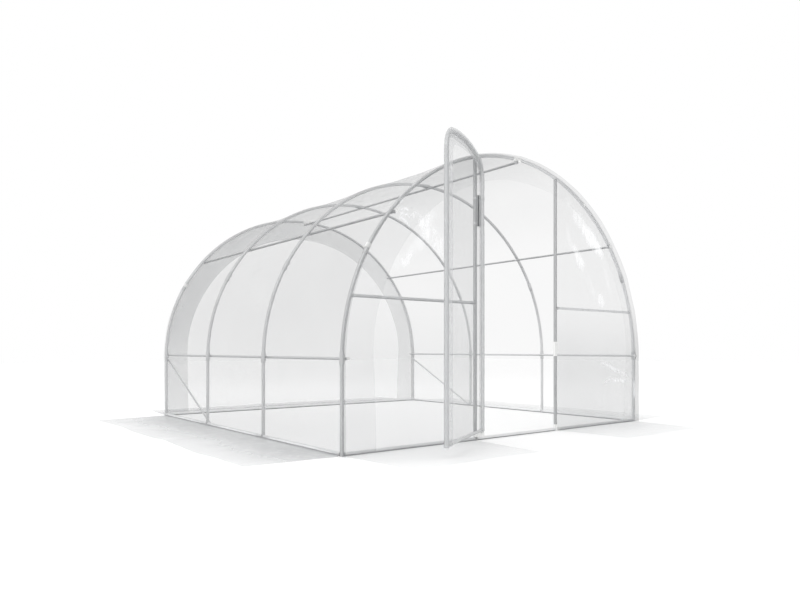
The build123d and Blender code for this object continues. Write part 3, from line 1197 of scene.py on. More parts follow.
@dataclass
class HoopSet(Assembly):
    """The four hoops, each two legs and two ribs, with the sleeves that couple them."""

    tube_wall: float = 1.2 * MM
    sleeve_wall: float = 1.6 * MM
    sleeve_length: float = 76 * MM
    sleeve_lip: float = 1.2 * MM
    crown_gap: float = 1.0 * MM

    def build(self) -> None:
        """Make the legs, the ribs and the sleeves."""
        self._legs()
        self._ribs()
        self._sleeves()

    def _spread(self, pattern: Piece, part: str) -> None:
        """Copy one hoop's tubes to every hoop's place.

        Args:
            pattern: One hoop's tubes, modelled at Y 0.
            part: legs or ribs.
        """
        moves = [Matrix.Translation((0.0, place, 0.0)) for place in self.sizes.stations]
        for name, tube in zip(HOOP_NAMES, copy_to(pattern, moves)):
            tube.name = tube.data.name = f"hoop_{name}_{part}_round"
            # The front hoop gets the copy with a painted highlight towards the right.
            finish = self.finishes.front_steel_lit_right if name == "front" else self.finishes.steel
            settle(tube, finish, Slot.STEEL, [f"hoop_{name}_{part}"])

    def _legs(self) -> None:
        """Make the legs with their lower bends."""
        arch = self.sizes.arch
        leg = self.shaper.start("leg_pattern", ACROSS * arch.half_width, UP, self.sizes.hoop_radius)
        pull(UP * arch.leg_height)
        self.shaper.bend(upright(arch.bend_centre), -ALONG, arch.coupling_angle)
        self._spread(self.shaper.finish(leg, self.tube_wall, mirrored=True), "legs")

    def _ribs(self) -> None:
        """Make the ribs that meet at the crown."""
        arch = self.sizes.arch
        angle = arch.coupling_angle
        centre = upright(arch.rib_centre)
        start = centre + arch.rib_radius * upright((cos(angle), sin(angle)))
        direction = upright((-sin(angle), cos(angle)))
        rib = self.shaper.start("rib_pattern", start, direction, self.sizes.hoop_radius)
        half_gap = self.crown_gap / 2 / arch.rib_radius
        self.shaper.bend(centre, -ALONG, pi / 2 - half_gap - angle)
        self._spread(self.shaper.finish(rib, self.tube_wall, mirrored=True), "ribs")

    def _sleeve(self) -> Piece:
        """Return a sleeve on the Z axis, with its rims turned in.

        Returns:
            The sleeve.
        """
        radius, half, lip = self.sizes.sleeve_radius, self.sleeve_length / 2, self.sleeve_lip
        rim = radius - lip / 2
        sleeve = self.shaper.start("sleeve_pattern", UP * -half, UP, rim)
        pull(UP * lip)
        widen(radius / rim)
        pull(UP * 2 * (half - lip))
        pull(UP * lip)
        widen(rim / radius)
        return self.shaper.finish(sleeve, self.sleeve_wall)

    def _sleeves(self) -> None:
        """Put the sleeves on the legs, at the couplings and at the crown."""
        arch, half = self.sizes.arch, self.sleeve_length / 2
        leg, coupling, crown, far_coupling, far_leg = sleeve_runs(arch)
        everywhere = self.sizes.stations
        ends, middle = (everywhere[0], everywhere[-1]), everywhere[1:-1]
        steel, white = (self.finishes.steel, Slot.STEEL), (self.finishes.white, Slot.WHITE)
        for name, nodes, alongs, stations, (finish, slot) in (
            ("leg_sleeves", ["leg_sleeves"], (leg, far_leg), everywhere, steel),
            ("rib_sleeves", ["rib_sleeves"], (coupling, far_coupling), everywhere, steel),
            ("crown_sleeves", ["crown_sleeves"], (crown,), ends, white),
            ("middle_crown_sleeves", [], (crown,), middle, steel),
        ):
            moves = []
            for along in alongs:
                before, after = upright(arch.at(along - half)), upright(arch.at(along + half))
                here, run = (before + after) / 2, after - before
                moves += [place_on(here + ALONG * station, run) for station in stations]
            settle(join(f"{name}_round", copy_to(self._sleeve(), moves)), finish, slot, nodes)


@dataclass
class RailSet(Assembly):
    """The rails, purlins, braces and base rails that tie the hoops together."""

    wall: float = 1.0 * MM
    end_fit: float = 0.3 * MM
    brace_radius: float = 8 * MM
    brace_insets: Pair = (0.5, 0.9)

    def build(self) -> None:
        """Make the long members, the base rails and the braces."""
        for node in LONG_NODES:
            finish = self.finishes.steel if node.startswith("side") else self.finishes.darker_steel
            self.lay(node, Straight.from_node(node, 1), self.wall, finish, Slot.STEEL)
        self._base()
        self._braces()

    def _base(self) -> None:
        """Make the base rails, each in stretches between the standing tubes."""
        radius, across = self.sizes.hoop_radius, self.sizes.arch.half_width
        for side, place in (("left", -across), ("right", across)):
            ends = [Vector((place, station, radius)) for station in self.sizes.stations]
            self._stretches(f"base_rail_{side}", ends)
        front = [-across, middle_of("door_post_left").x, middle_of("door_post_right").x, across]
        for end, places in ((End.FRONT, front), (End.BACK, [-across, across])):
            station = end * self.sizes.half_length
            ends = [Vector((x, station, radius)) for x in places]
            self._stretches(f"base_rail_{end.name.lower()}", ends)

    def _stretches(self, node: str, ends: Sequence[Vector]) -> None:
        """Make one base rail's stretches.

        Args:
            node: The frame's node.
            ends: The middles of the standing tubes that it runs between.
        """
        tubes = []
        for start, end in zip(ends, ends[1:]):
            inset = (end - start).normalized() * (self.sizes.hoop_radius + self.end_fit)
            stretch = Straight(start + inset, end - inset, self.sizes.hoop_radius)
            tubes.append(self.shaper.pipe(node, stretch, self.wall))
        # The base rails get painted highlight on top and painted contact shadow underneath.
        settle(join(f"{node}_round", tubes), self.finishes.lit_base_steel, Slot.STEEL, [node])

    def _braces(self) -> None:
        """Make the slanting braces of the rear bay, with their cut ends inside the frame's box."""
        low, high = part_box("braces")
        radius = self.brace_radius
        inwards, rise = (radius * share for share in self.brace_insets)
        foot = Vector((high.x - radius, low.y + inwards, low.z + rise))
        top = Vector((high.x - radius, high.y - inwards, high.z - rise))
        brace = self.shaper.pipe("braces_round", Straight(foot, top, radius), self.wall, mirrored=True)
        settle(brace, self.finishes.steel, Slot.STEEL, ["braces"])


@dataclass
class EndFrame(Assembly):
    """The posts, end rails and latch keep of the front end."""

    wall: float = 1.2 * MM
    post_bite: float = 0.6
    keep_wall: float = 1.6 * MM
    collar_length: float = 22 * MM
    collar_wall: float = 1.3 * MM
    collar_fit: float = 1.5 * MM
    collar_gap: float = 1 * MM

    def build(self) -> None:
        """Make the posts, the rails between them and the hoop, the keep and the collars."""
        for side in ("left", "right"):
            node = f"door_post_{side}"
            post = Straight.from_node(node, 2)
            top = post.end.copy()
            top.z = self.sizes.arch.top(top.x, -self.post_bite * self.sizes.hoop_radius)
            post = Straight(post.start, top, post.radius)
            self.lay(node, post, self.wall, self.finishes.darker_steel, Slot.STEEL)
            # The end rails get the copy with a painted highlight towards the right.
            rail, finish = self._rail(side), self.finishes.front_steel_lit_right
            self.lay(f"end_rail_{side}", rail, self.wall, finish, Slot.STEEL)
        keep = Straight.from_node("latch_keep", 2)
        self.lay("latch_keep", keep, self.keep_wall, self.finishes.white, Slot.WHITE)
        self._collars()

    def _rail(self, side: str) -> Straight:
        """Return the end rail of one side, as thick as its node is high."""
        rail = Straight.from_node(f"end_rail_{side}", 0)
        return Straight(rail.start, rail.end, half_height(f"end_rail_{side}"))

    def _collars(self) -> None:
        """Clamp the end rails to the posts and the hoop with pressed collars."""
        collars = []
        for rail in (self._rail("left"), self._rail("right")):
            for end, inwards in ((rail.start, ACROSS), (rail.end, -ACROSS)):
                start = end + inwards * self.collar_gap
                stop = start + inwards * self.collar_length
                tube = Straight(start, stop, rail.radius + self.collar_fit)
                collars.append(self.shaper.pipe("collar", tube, self.collar_wall))
        settle(join("end_rail_collars", collars), self.finishes.steel, Slot.STEEL)


@dataclass
class Door(Assembly):
    """The door's bent frame and its bottom rail."""

    wall: float = 1.2 * MM
    rail_bite: float = 1 * MM

    def build(self) -> None:
        """Make the door's frame and its bottom rail."""
        plane, radius = self.plane, self.sizes.hoop_radius
        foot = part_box("door_frame")[0].z
        frame = self.shaper.start("door_frame_round", plane.at(0.0, foot), UP, radius)
        pull(UP * (plane.corner_height - foot))
        for across, up, turn in (
            (plane.corner, plane.corner_height, plane.arch_start),
            (plane.width / 2, plane.arch_centre, pi - 2 * plane.arch_start),
            (plane.width - plane.corner, plane.corner_height, plane.arch_start),
        ):
            self.shaper.bend(plane.at(across, up), -plane.out, turn)
        pull(UP * (foot - plane.corner_height))
        frame = self.shaper.finish(frame, self.wall)
        settle(frame, self.finishes.steel, Slot.STEEL, ["door_frame"], Body.DOOR)
        height, rail_radius = middle_of("door_bottom_rail").z, half_height("door_bottom_rail")
        start = plane.at(radius - self.rail_bite, height)
        end = plane.at(plane.width - radius + self.rail_bite, height)
        rail = self.shaper.pipe("door_bottom_rail_round", Straight(start, end, rail_radius), self.wall)
        settle(rail, self.finishes.steel, Slot.STEEL, ["door_bottom_rail"], Body.DOOR)


# ---- film ----


def sheet_grid(
    name: str,
    counts: tuple[int, int],
    place: Callable[[float, float], Vector],
    outward: Vector,
) -> Piece:
    """Make a sheet from a grid, each corner of which is carried to its place.

    Args:
        name: The piece's name.
        counts: How many cells it has each way.
        place: The place of a point of the flat sheet, given from 0 to 1 each way.
        outward: The side that its middle faces.

    Returns:
        The sheet.
    """
    deselect()
    bpy.ops.mesh.primitive_grid_add(x_subdivisions=counts[0], y_subdivisions=counts[1], size=1.0)
    sheet = name_it(name)
    for vertex in sheet.data.vertices:
        vertex.co = place(vertex.co.x + 0.5, vertex.co.y + 0.5)
    sheet.data.update()
    faces = sheet.data.polygons
    if faces[len(faces) // 2 + counts[0] // 2].normal.dot(outward) < 0:
        with editing(sheet):
            bpy.ops.mesh.flip_normals()
    take(sheet)
    bpy.ops.object.shade_smooth()
    return sheet


def swell(away: float, reach: float) -> float:
    """Return a soft bump of height 1, at a distance from its middle."""
    return exp(-((away / reach) ** 2))


@dataclass(frozen=True)
class Folds:
    """Smooth folds: how high they are, how fine across and along, and which ones they are.

    A slant carries them across as they run along.
    """

    height: float
    across: float
    along: float = 0.0
    seed: float = 0.0
    slant: float = 0.0

    def at(self, across: float, along: float = 0.0, shift: float = 0.0) -> float:
        """Return how high they stand at a place, below 0 in a hollow.

        Args:
            across: The place across.
            along: The place along.
            shift: What is added to the seed.

        Returns:
            The height.
        """
        x = across * self.across + along * self.slant
        return self.height * noise.noise(Vector((x, along * self.along, self.seed + shift)))


@dataclass
class Cover(Assembly):
    """The film over the hoops, from ground to ground, with its turned-in margins at both ends."""

    sag: float = 15 * MM
    sag_power: float = 2.2
    overlap: float = 50 * MM
    end_curl: float = 7 * MM
    end_rucks: Folds = Folds(2.5 * MM, 6.0, 1.0, 7.0)
    end_wander: Folds = Folds(5 * MM, 4.0, seed=9.0)
    sleeve_rise: float = 3.4 * MM
    sleeve_half: float = 55 * MM
    sleeve_spread: float = 80 * MM
    broad_folds: Folds = Folds(3.2 * MM, 1.6, 5.0, 2.0)
    fine_folds: Folds = Folds(1.6 * MM, 5.0, 9.0, 4.0, 3.0)
    columns: int = 240
    rows: int = 130
    sleeves: tuple[float, ...] = ()

    def build(self) -> None:
        """Make the cover."""
        self.sleeves = sleeve_runs(self.sizes.arch)
        arch, half = self.sizes.arch, self.sizes.half_length + self.overlap

        def place(across: float, along: float) -> Vector:
            """Carry a point of the flat cover over the hoops.

            Args:
                across: From 0 at the left foot to 1 at the right.
                along: From 0 at the front to 1 at the back.

            Returns:
                Its place.
            """
            run = across * arch.length
            station = (2 * along - 1) * half
            x, z = arch.at(run, self._offset(run, station))
            return Vector((x, station + self._edge_wave(run, station), max(z, FILM_FLOOR)))

        cover = sheet_grid("cover_film", (self.columns, self.rows), place, UP)
        sides, parts = ("left", "right"), ("wall", "shoulder", "roof")
        nodes = [f"cover_{side}_{part}" for side in sides for part in parts]
        settle(cover, self.finishes.cover, Slot.FILM, nodes)
        arch.length

    def _offset(self, run: float, station: float) -> float:
        """Return how far outside the hoops' centre line the film lies.

        Args:
            run: The distance along the arch from the left foot.
            station: The place along the tunnel.

        Returns:
            The offset.
        """
        sizes = self.sizes
        touching = sizes.hoop_radius + COVER_GAP
        from_hoop = min(abs(station - hoop) for hoop in sizes.stations)
        near = min(abs(run - sleeve) for sleeve in self.sleeves)
        lifted = exp(-((near / self.sleeve_half) ** 4)) * swell(from_hoop, self.sleeve_spread)
        touching += self.sleeve_rise * lifted
        if abs(station) > sizes.half_length:
            curl = (abs(station) - sizes.half_length) / self.overlap
            return touching - self.end_curl * curl**2 + self.end_rucks.at(run, station) * curl
        share = from_hoop / (sizes.bay / 2)
        height = sizes.arch.at(run)[1]
        loose = min(1.0, height / sizes.arch.crown + 0.25)
        dip = self.sag * loose * (1 - (1 - share) ** self.sag_power)
        folds = self.broad_folds.at(run, station) + self.fine_folds.at(run, station)
        return touching - dip + folds * share

    def _edge_wave(self, run: float, station: float) -> float:
        """Return how far the film's end edges wander along the tunnel."""
        past = max(0.0, abs(station) - self.sizes.half_length) / self.overlap
        return past * self.end_wander.at(run)


def sleeve_runs(arch: Arch) -> tuple[float, ...]:
    """Return how far along the arch each of its sleeves is centred.

    Args:
        arch: The hoop's centre line.

    Returns:
        The places of the five sleeves, from the left foot.
    """
    leg, bend, rib = arch.stretches
    middle = middle_of("leg_sleeves").z
    return middle, leg + bend, leg + bend + rib, arch.length - leg - bend, arch.length - middle


@dataclass
class EndSheets(Assembly):
    """The film of the two end walls, with the hem that runs round inside each end hoop."""

    front_widths: tuple[float, ...] = (0.235, 0.205, 0.19, 0.165, 0.115, 0.13, 0.175)
    back_widths: tuple[float, ...] = (0.215, 0.20, 0.19, 0.19, 0.195, 0.21, 0.24)
    hem_gap: float = 2.2 * END_GAP
    hem_wander: Folds = Folds(2.5 * MM, 12.0, seed=11.0)
    tuck: float = 9 * MM
    broad_folds: Folds = Folds(6.0 * MM, 7.0, 0.9, 5.0)
    fine_folds: Folds = Folds(2.5 * MM, 16.0, 2.4, 8.0)
    deepest_fold: float = 1 * MM
    taut_rim: float = 0.15
    taut_across: float = 0.47
    taut_fade: float = 0.12
    stub_radius: float = 10 * MM
    stub_push: float = 4 * MM
    tent_radius: float = 60 * MM
    tent_power: float = 1.8
    door_room: float = 21 * MM
    door_fade: float = 12 * MM
    over_door: float = 0.1
    least_folds: float = 0.1
    star_points: int = 5
    star_share: float = 0.3
    star_turn: float = 0.6
    sleeve_rise: float = 3.2 * MM
    sleeve_spread: float = 55 * MM
    columns: int = 90
    rows: int = 110
    hem_cells: tuple[int, int] = (220, 14)
    crowding: float = 0.995
    stubs: dict[End, list[Triple]] = field(default_factory=dict)
    sleeves: list[Pair] = field(default_factory=list)
    door_top: float = 0.0

    def build(self) -> None:
        """Make the end sheets and their hems."""
        arch = self.sizes.arch
        reach = arch.half_width + self.tuck
        self.stubs = {end: self._stubs(end) for end in End}
        self.door_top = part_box("door_frame")[1].z + self.door_room
        leg, coupling, _, far_coupling, far_leg = sleeve_runs(arch)
        self.sleeves = [arch.at(run) for run in (leg, coupling, far_coupling, far_leg)]
        self._panel("front_film_left", End.FRONT, -reach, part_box("front_film_left")[1].x)
        self._panel("front_film_right", End.FRONT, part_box("front_film_right")[0].x, reach)
        self._panel("back_film", End.BACK, -reach, reach)
        self._hem(End.FRONT, self.front_widths, self.finishes.front_hem, ["front_film_valance"])
        self._hem(End.BACK, self.back_widths, self.finishes.back_hem, [])

    def _stubs(self, end: End) -> list[Triple]:
        """Return where the rails push the film out, and how far.

        Args:
            end: Which end of the tunnel.

        Returns:
            For each rail, its place across, its height and how far along it pushes the film.
        """
        stubs = []
        for node in LONG_NODES:
            rail = Straight.from_node(node, 1)
            tip = rail.end if end > 0 else rail.start
            stubs.append((tip.x, tip.z, abs(tip.y) + self.stub_push))
        return stubs

    def _face(self, x: float, z: float, end: End, gap: float) -> float:
        """Return where the film of an end wall lies along the tunnel.

        It hangs in folds, taut near the hoop and over the door, and stands out in a creased tent over
        each rail's end.

        Args:
            x: The place across.
            z: The height.
            end: Which end of the tunnel.
            gap: How far it lies off the hoop.

        Returns:
            The place along the tunnel.
        """
        sizes = self.sizes
        rest = sizes.half_length + sizes.hoop_radius + gap
        edge = min(1.0, max(0.0, (sizes.arch.top(x, sizes.hoop_radius) - z) / self.taut_rim))
        if end < 0:
            past = max(0.0, abs(x) - self.taut_across)
            edge *= min(1.0, self.least_folds + past / self.taut_fade)
        folds = self.broad_folds.at(x, z, end) + self.fine_folds.at(x, z, end)
        out = rest + max(folds * edge, -self.deepest_fold)
        for sleeve_x, sleeve_z in self.sleeves:
            out += self.sleeve_rise * swell(hypot(x - sleeve_x, z - sleeve_z), self.sleeve_spread)
        for stub_x, stub_z, push in self.stubs[end]:
            dx, dz = x - stub_x, z - stub_z
            past = max(0.0, hypot(dx, dz) - self.stub_radius)
            star = 1 + self.star_share * cos(self.star_points * atan2(dz, dx) + self.star_turn)
            tent = max(0.0, 1 - past / (self.tent_radius * star)) ** self.tent_power
            if end < 0 and abs(stub_x) < self.over_door:
                tent *= min(1.0, max(0.0, (z - self.door_top) / self.door_fade))
            out = max(out, rest + (push - rest) * tent)
        return end * out

    def _panel(self, node: str, end: End, start: float, stop: float) -> None:
        """Make one sheet of an end wall.

        Args:
            node: The frame's node that it stands for.
            end: Which end of the tunnel.
            start: Its left edge.
            stop: Its right edge.
        """
        arch, offset = self.sizes.arch, self.tuck
        widest = arch.half_width / self.crowding

        def column(share: float) -> float:
            """Return the place across of a column, closer together where the arch is steep.

            Args:
                share: From 0 at the left edge to 1 at the right.

            Returns:
                The place across.
            """
            first, last = asin(max(-1.0, start / widest)), asin(min(1.0, stop / widest))
            return min(max(widest * sin(first + share * (last - first)), start), stop)

        def place(across: float, up: float) -> Vector:
            """Carry a point of the flat sheet to the end wall.

            Args:
                across: From 0 at the left edge to 1 at the right.
                up: From 0 at the foot to 1 at the arch.

            Returns:
                Its place.
            """
            x = column(across)
            z = up * arch.top(x, offset) + FILM_FLOOR
            return Vector((x, self._face(x, z, end, END_GAP), z))

        count = self.columns if end < 0 else 2 * self.columns
        sheet = sheet_grid(f"{node}_sheet", (count, self.rows), place, ALONG * end)
        finish = self.finishes.front if end < 0 else self.finishes.back
        settle(sheet, finish, Slot.FILM, [node])
        high = max(arch.top(column(step / 40), offset) for step in range(41))
        spans = [(column(step / 400), column((step + 1) / 400)) for step in range(400)]
        area = sum((b - a) * arch.top((a + b) / 2, offset) for a, b in spans)

    def _hem(self, end: End, widths: Sequence[float], finish: Material, nodes: Sequence[str]) -> None:
        """Make the hem inside an end hoop.

        Args:
            end: Which end of the tunnel.
            widths: Its width at even steps along the hoop, from the left foot to the right.
            finish: Its material.
            nodes: The frame's nodes that it stands for.
        """
        arch = self.sizes.arch

        def width(along: float) -> float:
            """Return the hem's width.

            Args:
                along: From 0 at the left foot to 1 at the right.

            Returns:
                The width there.
            """
            step = min(int(along * (len(widths) - 1)), len(widths) - 2)
            share = along * (len(widths) - 1) - step
            share = share * share * (3 - 2 * share)
            wander = self.hem_wander.at(along, shift=end)
            return widths[step] + (widths[step + 1] - widths[step]) * share + wander

        def place(along: float, inward: float) -> Vector:
            """Carry a point of the flat hem to its place inside the hoop.

            Args:
                along: From 0 at the left foot to 1 at the right.
                inward: From 0 at the hoop to 1 at the free edge.

            Returns:
                Its place.
            """
            x, z = arch.at(along * arch.length, self.tuck - inward * (self.tuck + width(along)))
            z = max(z, FILM_FLOOR)
            return Vector((x, self._face(x, z, end, self.hem_gap), z))

        hem = sheet_grid(f"{end.name.lower()}_hem", self.hem_cells, place, ALONG * end)
        settle(hem, finish, Slot.FILM, nodes)
        mean = sum(widths) / len(widths) + self.tuck
        arch.length


@dataclass
class DoorSheets(Assembly):
    """The film on the door, and the hem that wraps it round the frame's tube."""

    folds: Folds = Folds(3.5 * MM, 11.0, 1.1, 21.0)
    taut_edge: float = 0.08
    hinge_inset: float = 26 * MM
    sheet_cells: tuple[int, int] = (60, 120)
    loose: float = 12 * MM
    hem_foot: float = 8 * MM
    hem_lap: float = 30 * MM
    hem_width: float = 75 * MM
    hem_gap: float = 1.6 * MM
    wrap_gap: float = 1 * MM
    unevenness: Folds = Folds(0.25, 26.0, seed=31.0)
    clamped_gap: float = 1.3 * MM
    clamp_reach: float = 12 * MM
    clamp_fade: float = 0.03
    hem_cells: tuple[int, int] = (260, 26)
    clamped: Pair = (0.0, 0.0)

    def build(self) -> None:
        """Make the sheet and its hem."""
        low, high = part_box("hinge_body")
        self.clamped = (low.z, high.z)
        self._sheet()
        self._hem()

    def _top(self, across: float, outset: float) -> float:
        """Return how high the door's outline, or a line outside it, stands over a place across.

        Args:
            across: The place across the door.
            outset: How far outside the outline.

        Returns:
            The height.
        """
        plane = self.plane
        reach = abs(across - plane.width / 2)
        corner_from = (plane.arch_radius + outset) * cos(plane.arch_start)
        if reach <= corner_from:
            return plane.arch_centre + sqrt((plane.arch_radius + outset) ** 2 - reach**2)
        past = reach - (plane.width / 2 - plane.corner)
        return plane.corner_height + sqrt(max(0.0, (plane.corner + outset) ** 2 - past**2))

    def _sheet(self) -> None:
        """Make the flat sheet on the door's outer face."""
        plane, radius = self.plane, self.sizes.hoop_radius
        start, stop = self.hinge_inset, plane.width + radius
        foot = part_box("door_film")[0].z

        def place(across: float, up: float) -> Vector:
            """Carry a point of the flat sheet to the door.

            Args:
                across: From 0 at the hinge stile to 1 at the free stile.
                up: From 0 at the foot to 1 at the top.

            Returns:
                Its place.
            """
            x = start + across * (stop - start)
            top = self._top(x, radius)
            z = foot + up * (top - foot)
            edge = min(1.0, min(x - start, stop - x) / self.taut_edge)
            return plane.at(x, z, radius + COVER_GAP + max(self.folds.at(x, z) * edge, 0.0))

        sheet = sheet_grid("door_film_sheet", self.sheet_cells, place, plane.out)
        settle(sheet, self.finishes.door, Slot.FILM, ["door_film"], Body.DOOR)
        high = self._top(plane.width / 2, radius) - foot

    def _held(self, spot: Vector) -> float:
        """Return how firmly the hinge's clamps hold the hem to the stile.

        Args:
            spot: A place in the door's plane, across and up.

        Returns:
            The hold, from 0 to 1.
        """
        if spot.x > 0.5 * self.plane.width:
            return 0.0
        low, high = self.clamped
        past = max(0.0, low - self.clamp_reach - spot.y, spot.y - high - self.clamp_reach)
        return max(0.0, 1 - past / self.clamp_fade)

    def _hem(self) -> None:
        """Wrap the hem round the stiles and the top."""
        plane, radius = self.plane, self.sizes.hoop_radius
        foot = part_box("door_frame")[0].z + self.hem_foot
        wrap = pi * (radius + self.wrap_gap) + 2 * self.loose
        outer = self.hem_lap
        girth = outer + wrap + self.hem_width

        def place(along: float, round_it: float) -> Vector:
            """Carry a point of the flat hem round the tube.

            Args:
                along: From 0 at the hinge stile's foot to 1 at the free stile's foot.
                round_it: From 0 on the door's outer face to 1 on its inner face.

            Returns:
                Its place.
            """
            spent = round_it * girth
            middle, outwards = plane.outline(along, foot)
            held = self._held(middle)
            sway = (1 + self.unevenness.at(along)) * (1 - held)
            reach = radius + self.hem_gap - self.clamped_gap * held
            if spent < outer:
                outset, out = spent - outer, reach
            elif spent < outer + wrap:
                angle = pi * (spent - outer) / wrap
                outset = sin(angle) * (reach + self.loose * sway)
                out = cos(angle) * reach
            else:
                outset, out = -(spent - outer - wrap), -reach
            spot = middle + outset * outwards
            return plane.at(spot.x, spot.y, out)

        hem = sheet_grid("door_hem", self.hem_cells, place, -plane.out)
        settle(hem, self.finishes.door_hem, Slot.FILM, body=Body.DOOR)
        plane.run(foot)


@dataclass
class Skirts(Assembly):
    """The film flaps that lie on the ground round the tunnel."""

    width: float = 0.59
    wave: float = 24 * MM
    corner_inset: float = 45 * MM
    turn_radius: float = 9 * MM
    swells: Folds = Folds(16 * MM, 2.3, 2.0)
    creases: Folds = Folds(5 * MM, 7.5, 3.0, 1.0, 5.0)
    cell: float = 0.025
    fewest_cells: int = 40
    cells_out: int = 40

    def build(self) -> None:
        """Lay the skirts."""
        half_width, half_length = self.sizes.arch.half_width, self.sizes.half_length
        door_left, door_right = middle_of("door_post_left").x, middle_of("door_post_right").x
        long, wide = (-half_length, half_length), (-half_width, half_width)
        left, right = (-half_width, door_left), (door_right, half_width)
        self._skirt("skirt_left", ["skirt_left"], -ACROSS, long, 5, 41.0)
        self._skirt("skirt_right", ["skirt_right"], ACROSS, long, 5, 43.0)
        self._skirt("skirt_front_left", ["skirt_front"], -ALONG, left, 3, 45.0)
        self._skirt("skirt_front_right", [], -ALONG, right, 3, 47.0)
        self._skirt("skirt_back", ["skirt_back"], ALONG, wide, 7, 49.0)

    def _skirt(
        self, name: str, nodes: Sequence[str], out: Vector, span: Pair, waves: int, seed: float
    ) -> None:
        """Lay one skirt.

        Args:
            name: The piece's name.
            nodes: The frame's nodes that it stands for.
            out: The way from the wall.
            span: Where the skirt starts and ends along the wall.
            waves: How many swells its free edge has.
            seed: Which folds it has.
        """
        start, stop = span
        long = stop - start
        sizes, along = self.sizes, ALONG if out.x else ACROSS
        reach = sizes.arch.half_width + COVER_GAP if out.x else sizes.half_length + END_GAP
        wall = out * (reach + sizes.hoop_radius)

        def place(share: float, outward: float) -> Vector:
            """Carry a point of the flat skirt to the ground, round the bend at the wall's foot.

            Args:
                share: From 0 at its start to 1 at its end along the wall.
                outward: From 0 at the wall to 1 at the free edge.

            Returns:
                Its place.
            """
            inset = self.corner_inset * outward
            run = start + inset + share * (long - 2 * inset)
            far = outward * (self.width - self.wave / 2 * cos(pi * waves * share) * outward)
            rise = self._rise(share, outward, run, far, seed)
            if far < self.turn_radius:
                angle = far / self.turn_radius * pi / 2
                rise = self.turn_radius * (1 - sin(angle)) + FILM_FLOOR
            return wall + along * run + out * far + UP * rise

        count = max(self.fewest_cells, round(long / self.cell))
        sheet = sheet_grid(f"{name}_sheet", (count, self.cells_out), place, UP)
        finish = self.finishes.laid if name in ("skirt_left", "skirt_back") else self.finishes.laid_thin
        settle(sheet, finish, Slot.SKIRT, nodes)

    def _rise(self, share: float, outward: float, run: float, far: float, seed: float) -> float:
        """Return how high the skirt lies off the ground.

        Args:
            share: The place along it, from 0 to 1.
            outward: The place out from the wall, from 0 to 1.
            run: The place along the wall.
            far: The distance out from the wall.
            seed: Which folds it has.

        Returns:
            The height.
        """
        swells = max(0.0, self.swells.at(run, far, seed))
        creases = max(0.0, self.creases.at(run, far, seed))
        edge = min(1.0, 4 * outward) * (0.35 + 0.65 * min(1.0, 3 * min(share, 1 - share)))
        return FILM_FLOOR + (swells + creases) * edge


# ---- fittings ----


def block(name: str, low: Vector, high: Vector, bevel: float) -> Piece:
    """Return a block between two corners, with its edges rounded.

    Args:
        name: The piece's name.
        low: One corner.
        high: The corner across from it.
        bevel: How wide its edges are rounded.

    Returns:
        The piece.
    """
    deselect()
    bpy.ops.mesh.primitive_cube_add(size=1.0, location=tuple((low + high) / 2), scale=tuple(high - low))
    piece = name_it(name)
    with editing(piece, SelectMode.EDGE):
        bpy.ops.mesh.bevel(offset=bevel, segments=3, affect="EDGES")
    smooth(piece)
    return piece


def turned(name: str, profile: Sequence[Pair], sides: int = 20) -> Piece:
    """Return a closed round piece on the Z axis, pulled up ring by ring.

    Args:
        name: The piece's name.
        profile: The radius and height of each ring, from the foot up.
        sides: How many sides each ring has.

    Returns:
        The piece.
    """
    deselect()
    radius, height = profile[0]
    foot = (0, 0, height)
    bpy.ops.mesh.primitive_circle_add(vertices=sides, radius=radius, location=foot, fill_type="NGON")
    piece = name_it(name)
    with editing(piece, SelectMode.FACE):
        for (radius, height), (above, higher) in zip(profile, profile[1:]):
            pull(UP * (higher - height))
            widen(above / radius)
    tidy_shell(piece)
    smooth(piece, radians(40))
    return piece


@dataclass(frozen=True)
class Bolt:
    """A hexagon bolt's head on its washer, modelled on +Z."""

    size: float = 5.2 * MM
    height: float = 3.4 * MM
    washer_share: float = 1.25
    crown_share: float = 0.82
    thin: float = 0.6 * MM

    def make(self) -> Piece:
        """Return the bolt.

        Returns:
            The bolt, to be copied.
        """
        washer, thin = self.size * self.washer_share, self.thin
        disc = turned("washer", [(washer, -thin), (washer, thin)], 14)
        crown = self.size * self.crown_share
        head = turned("head", [(self.size, thin), (self.size, self.height), (crown, thin + self.height)], 6)
        return join("bolt", [head, disc])


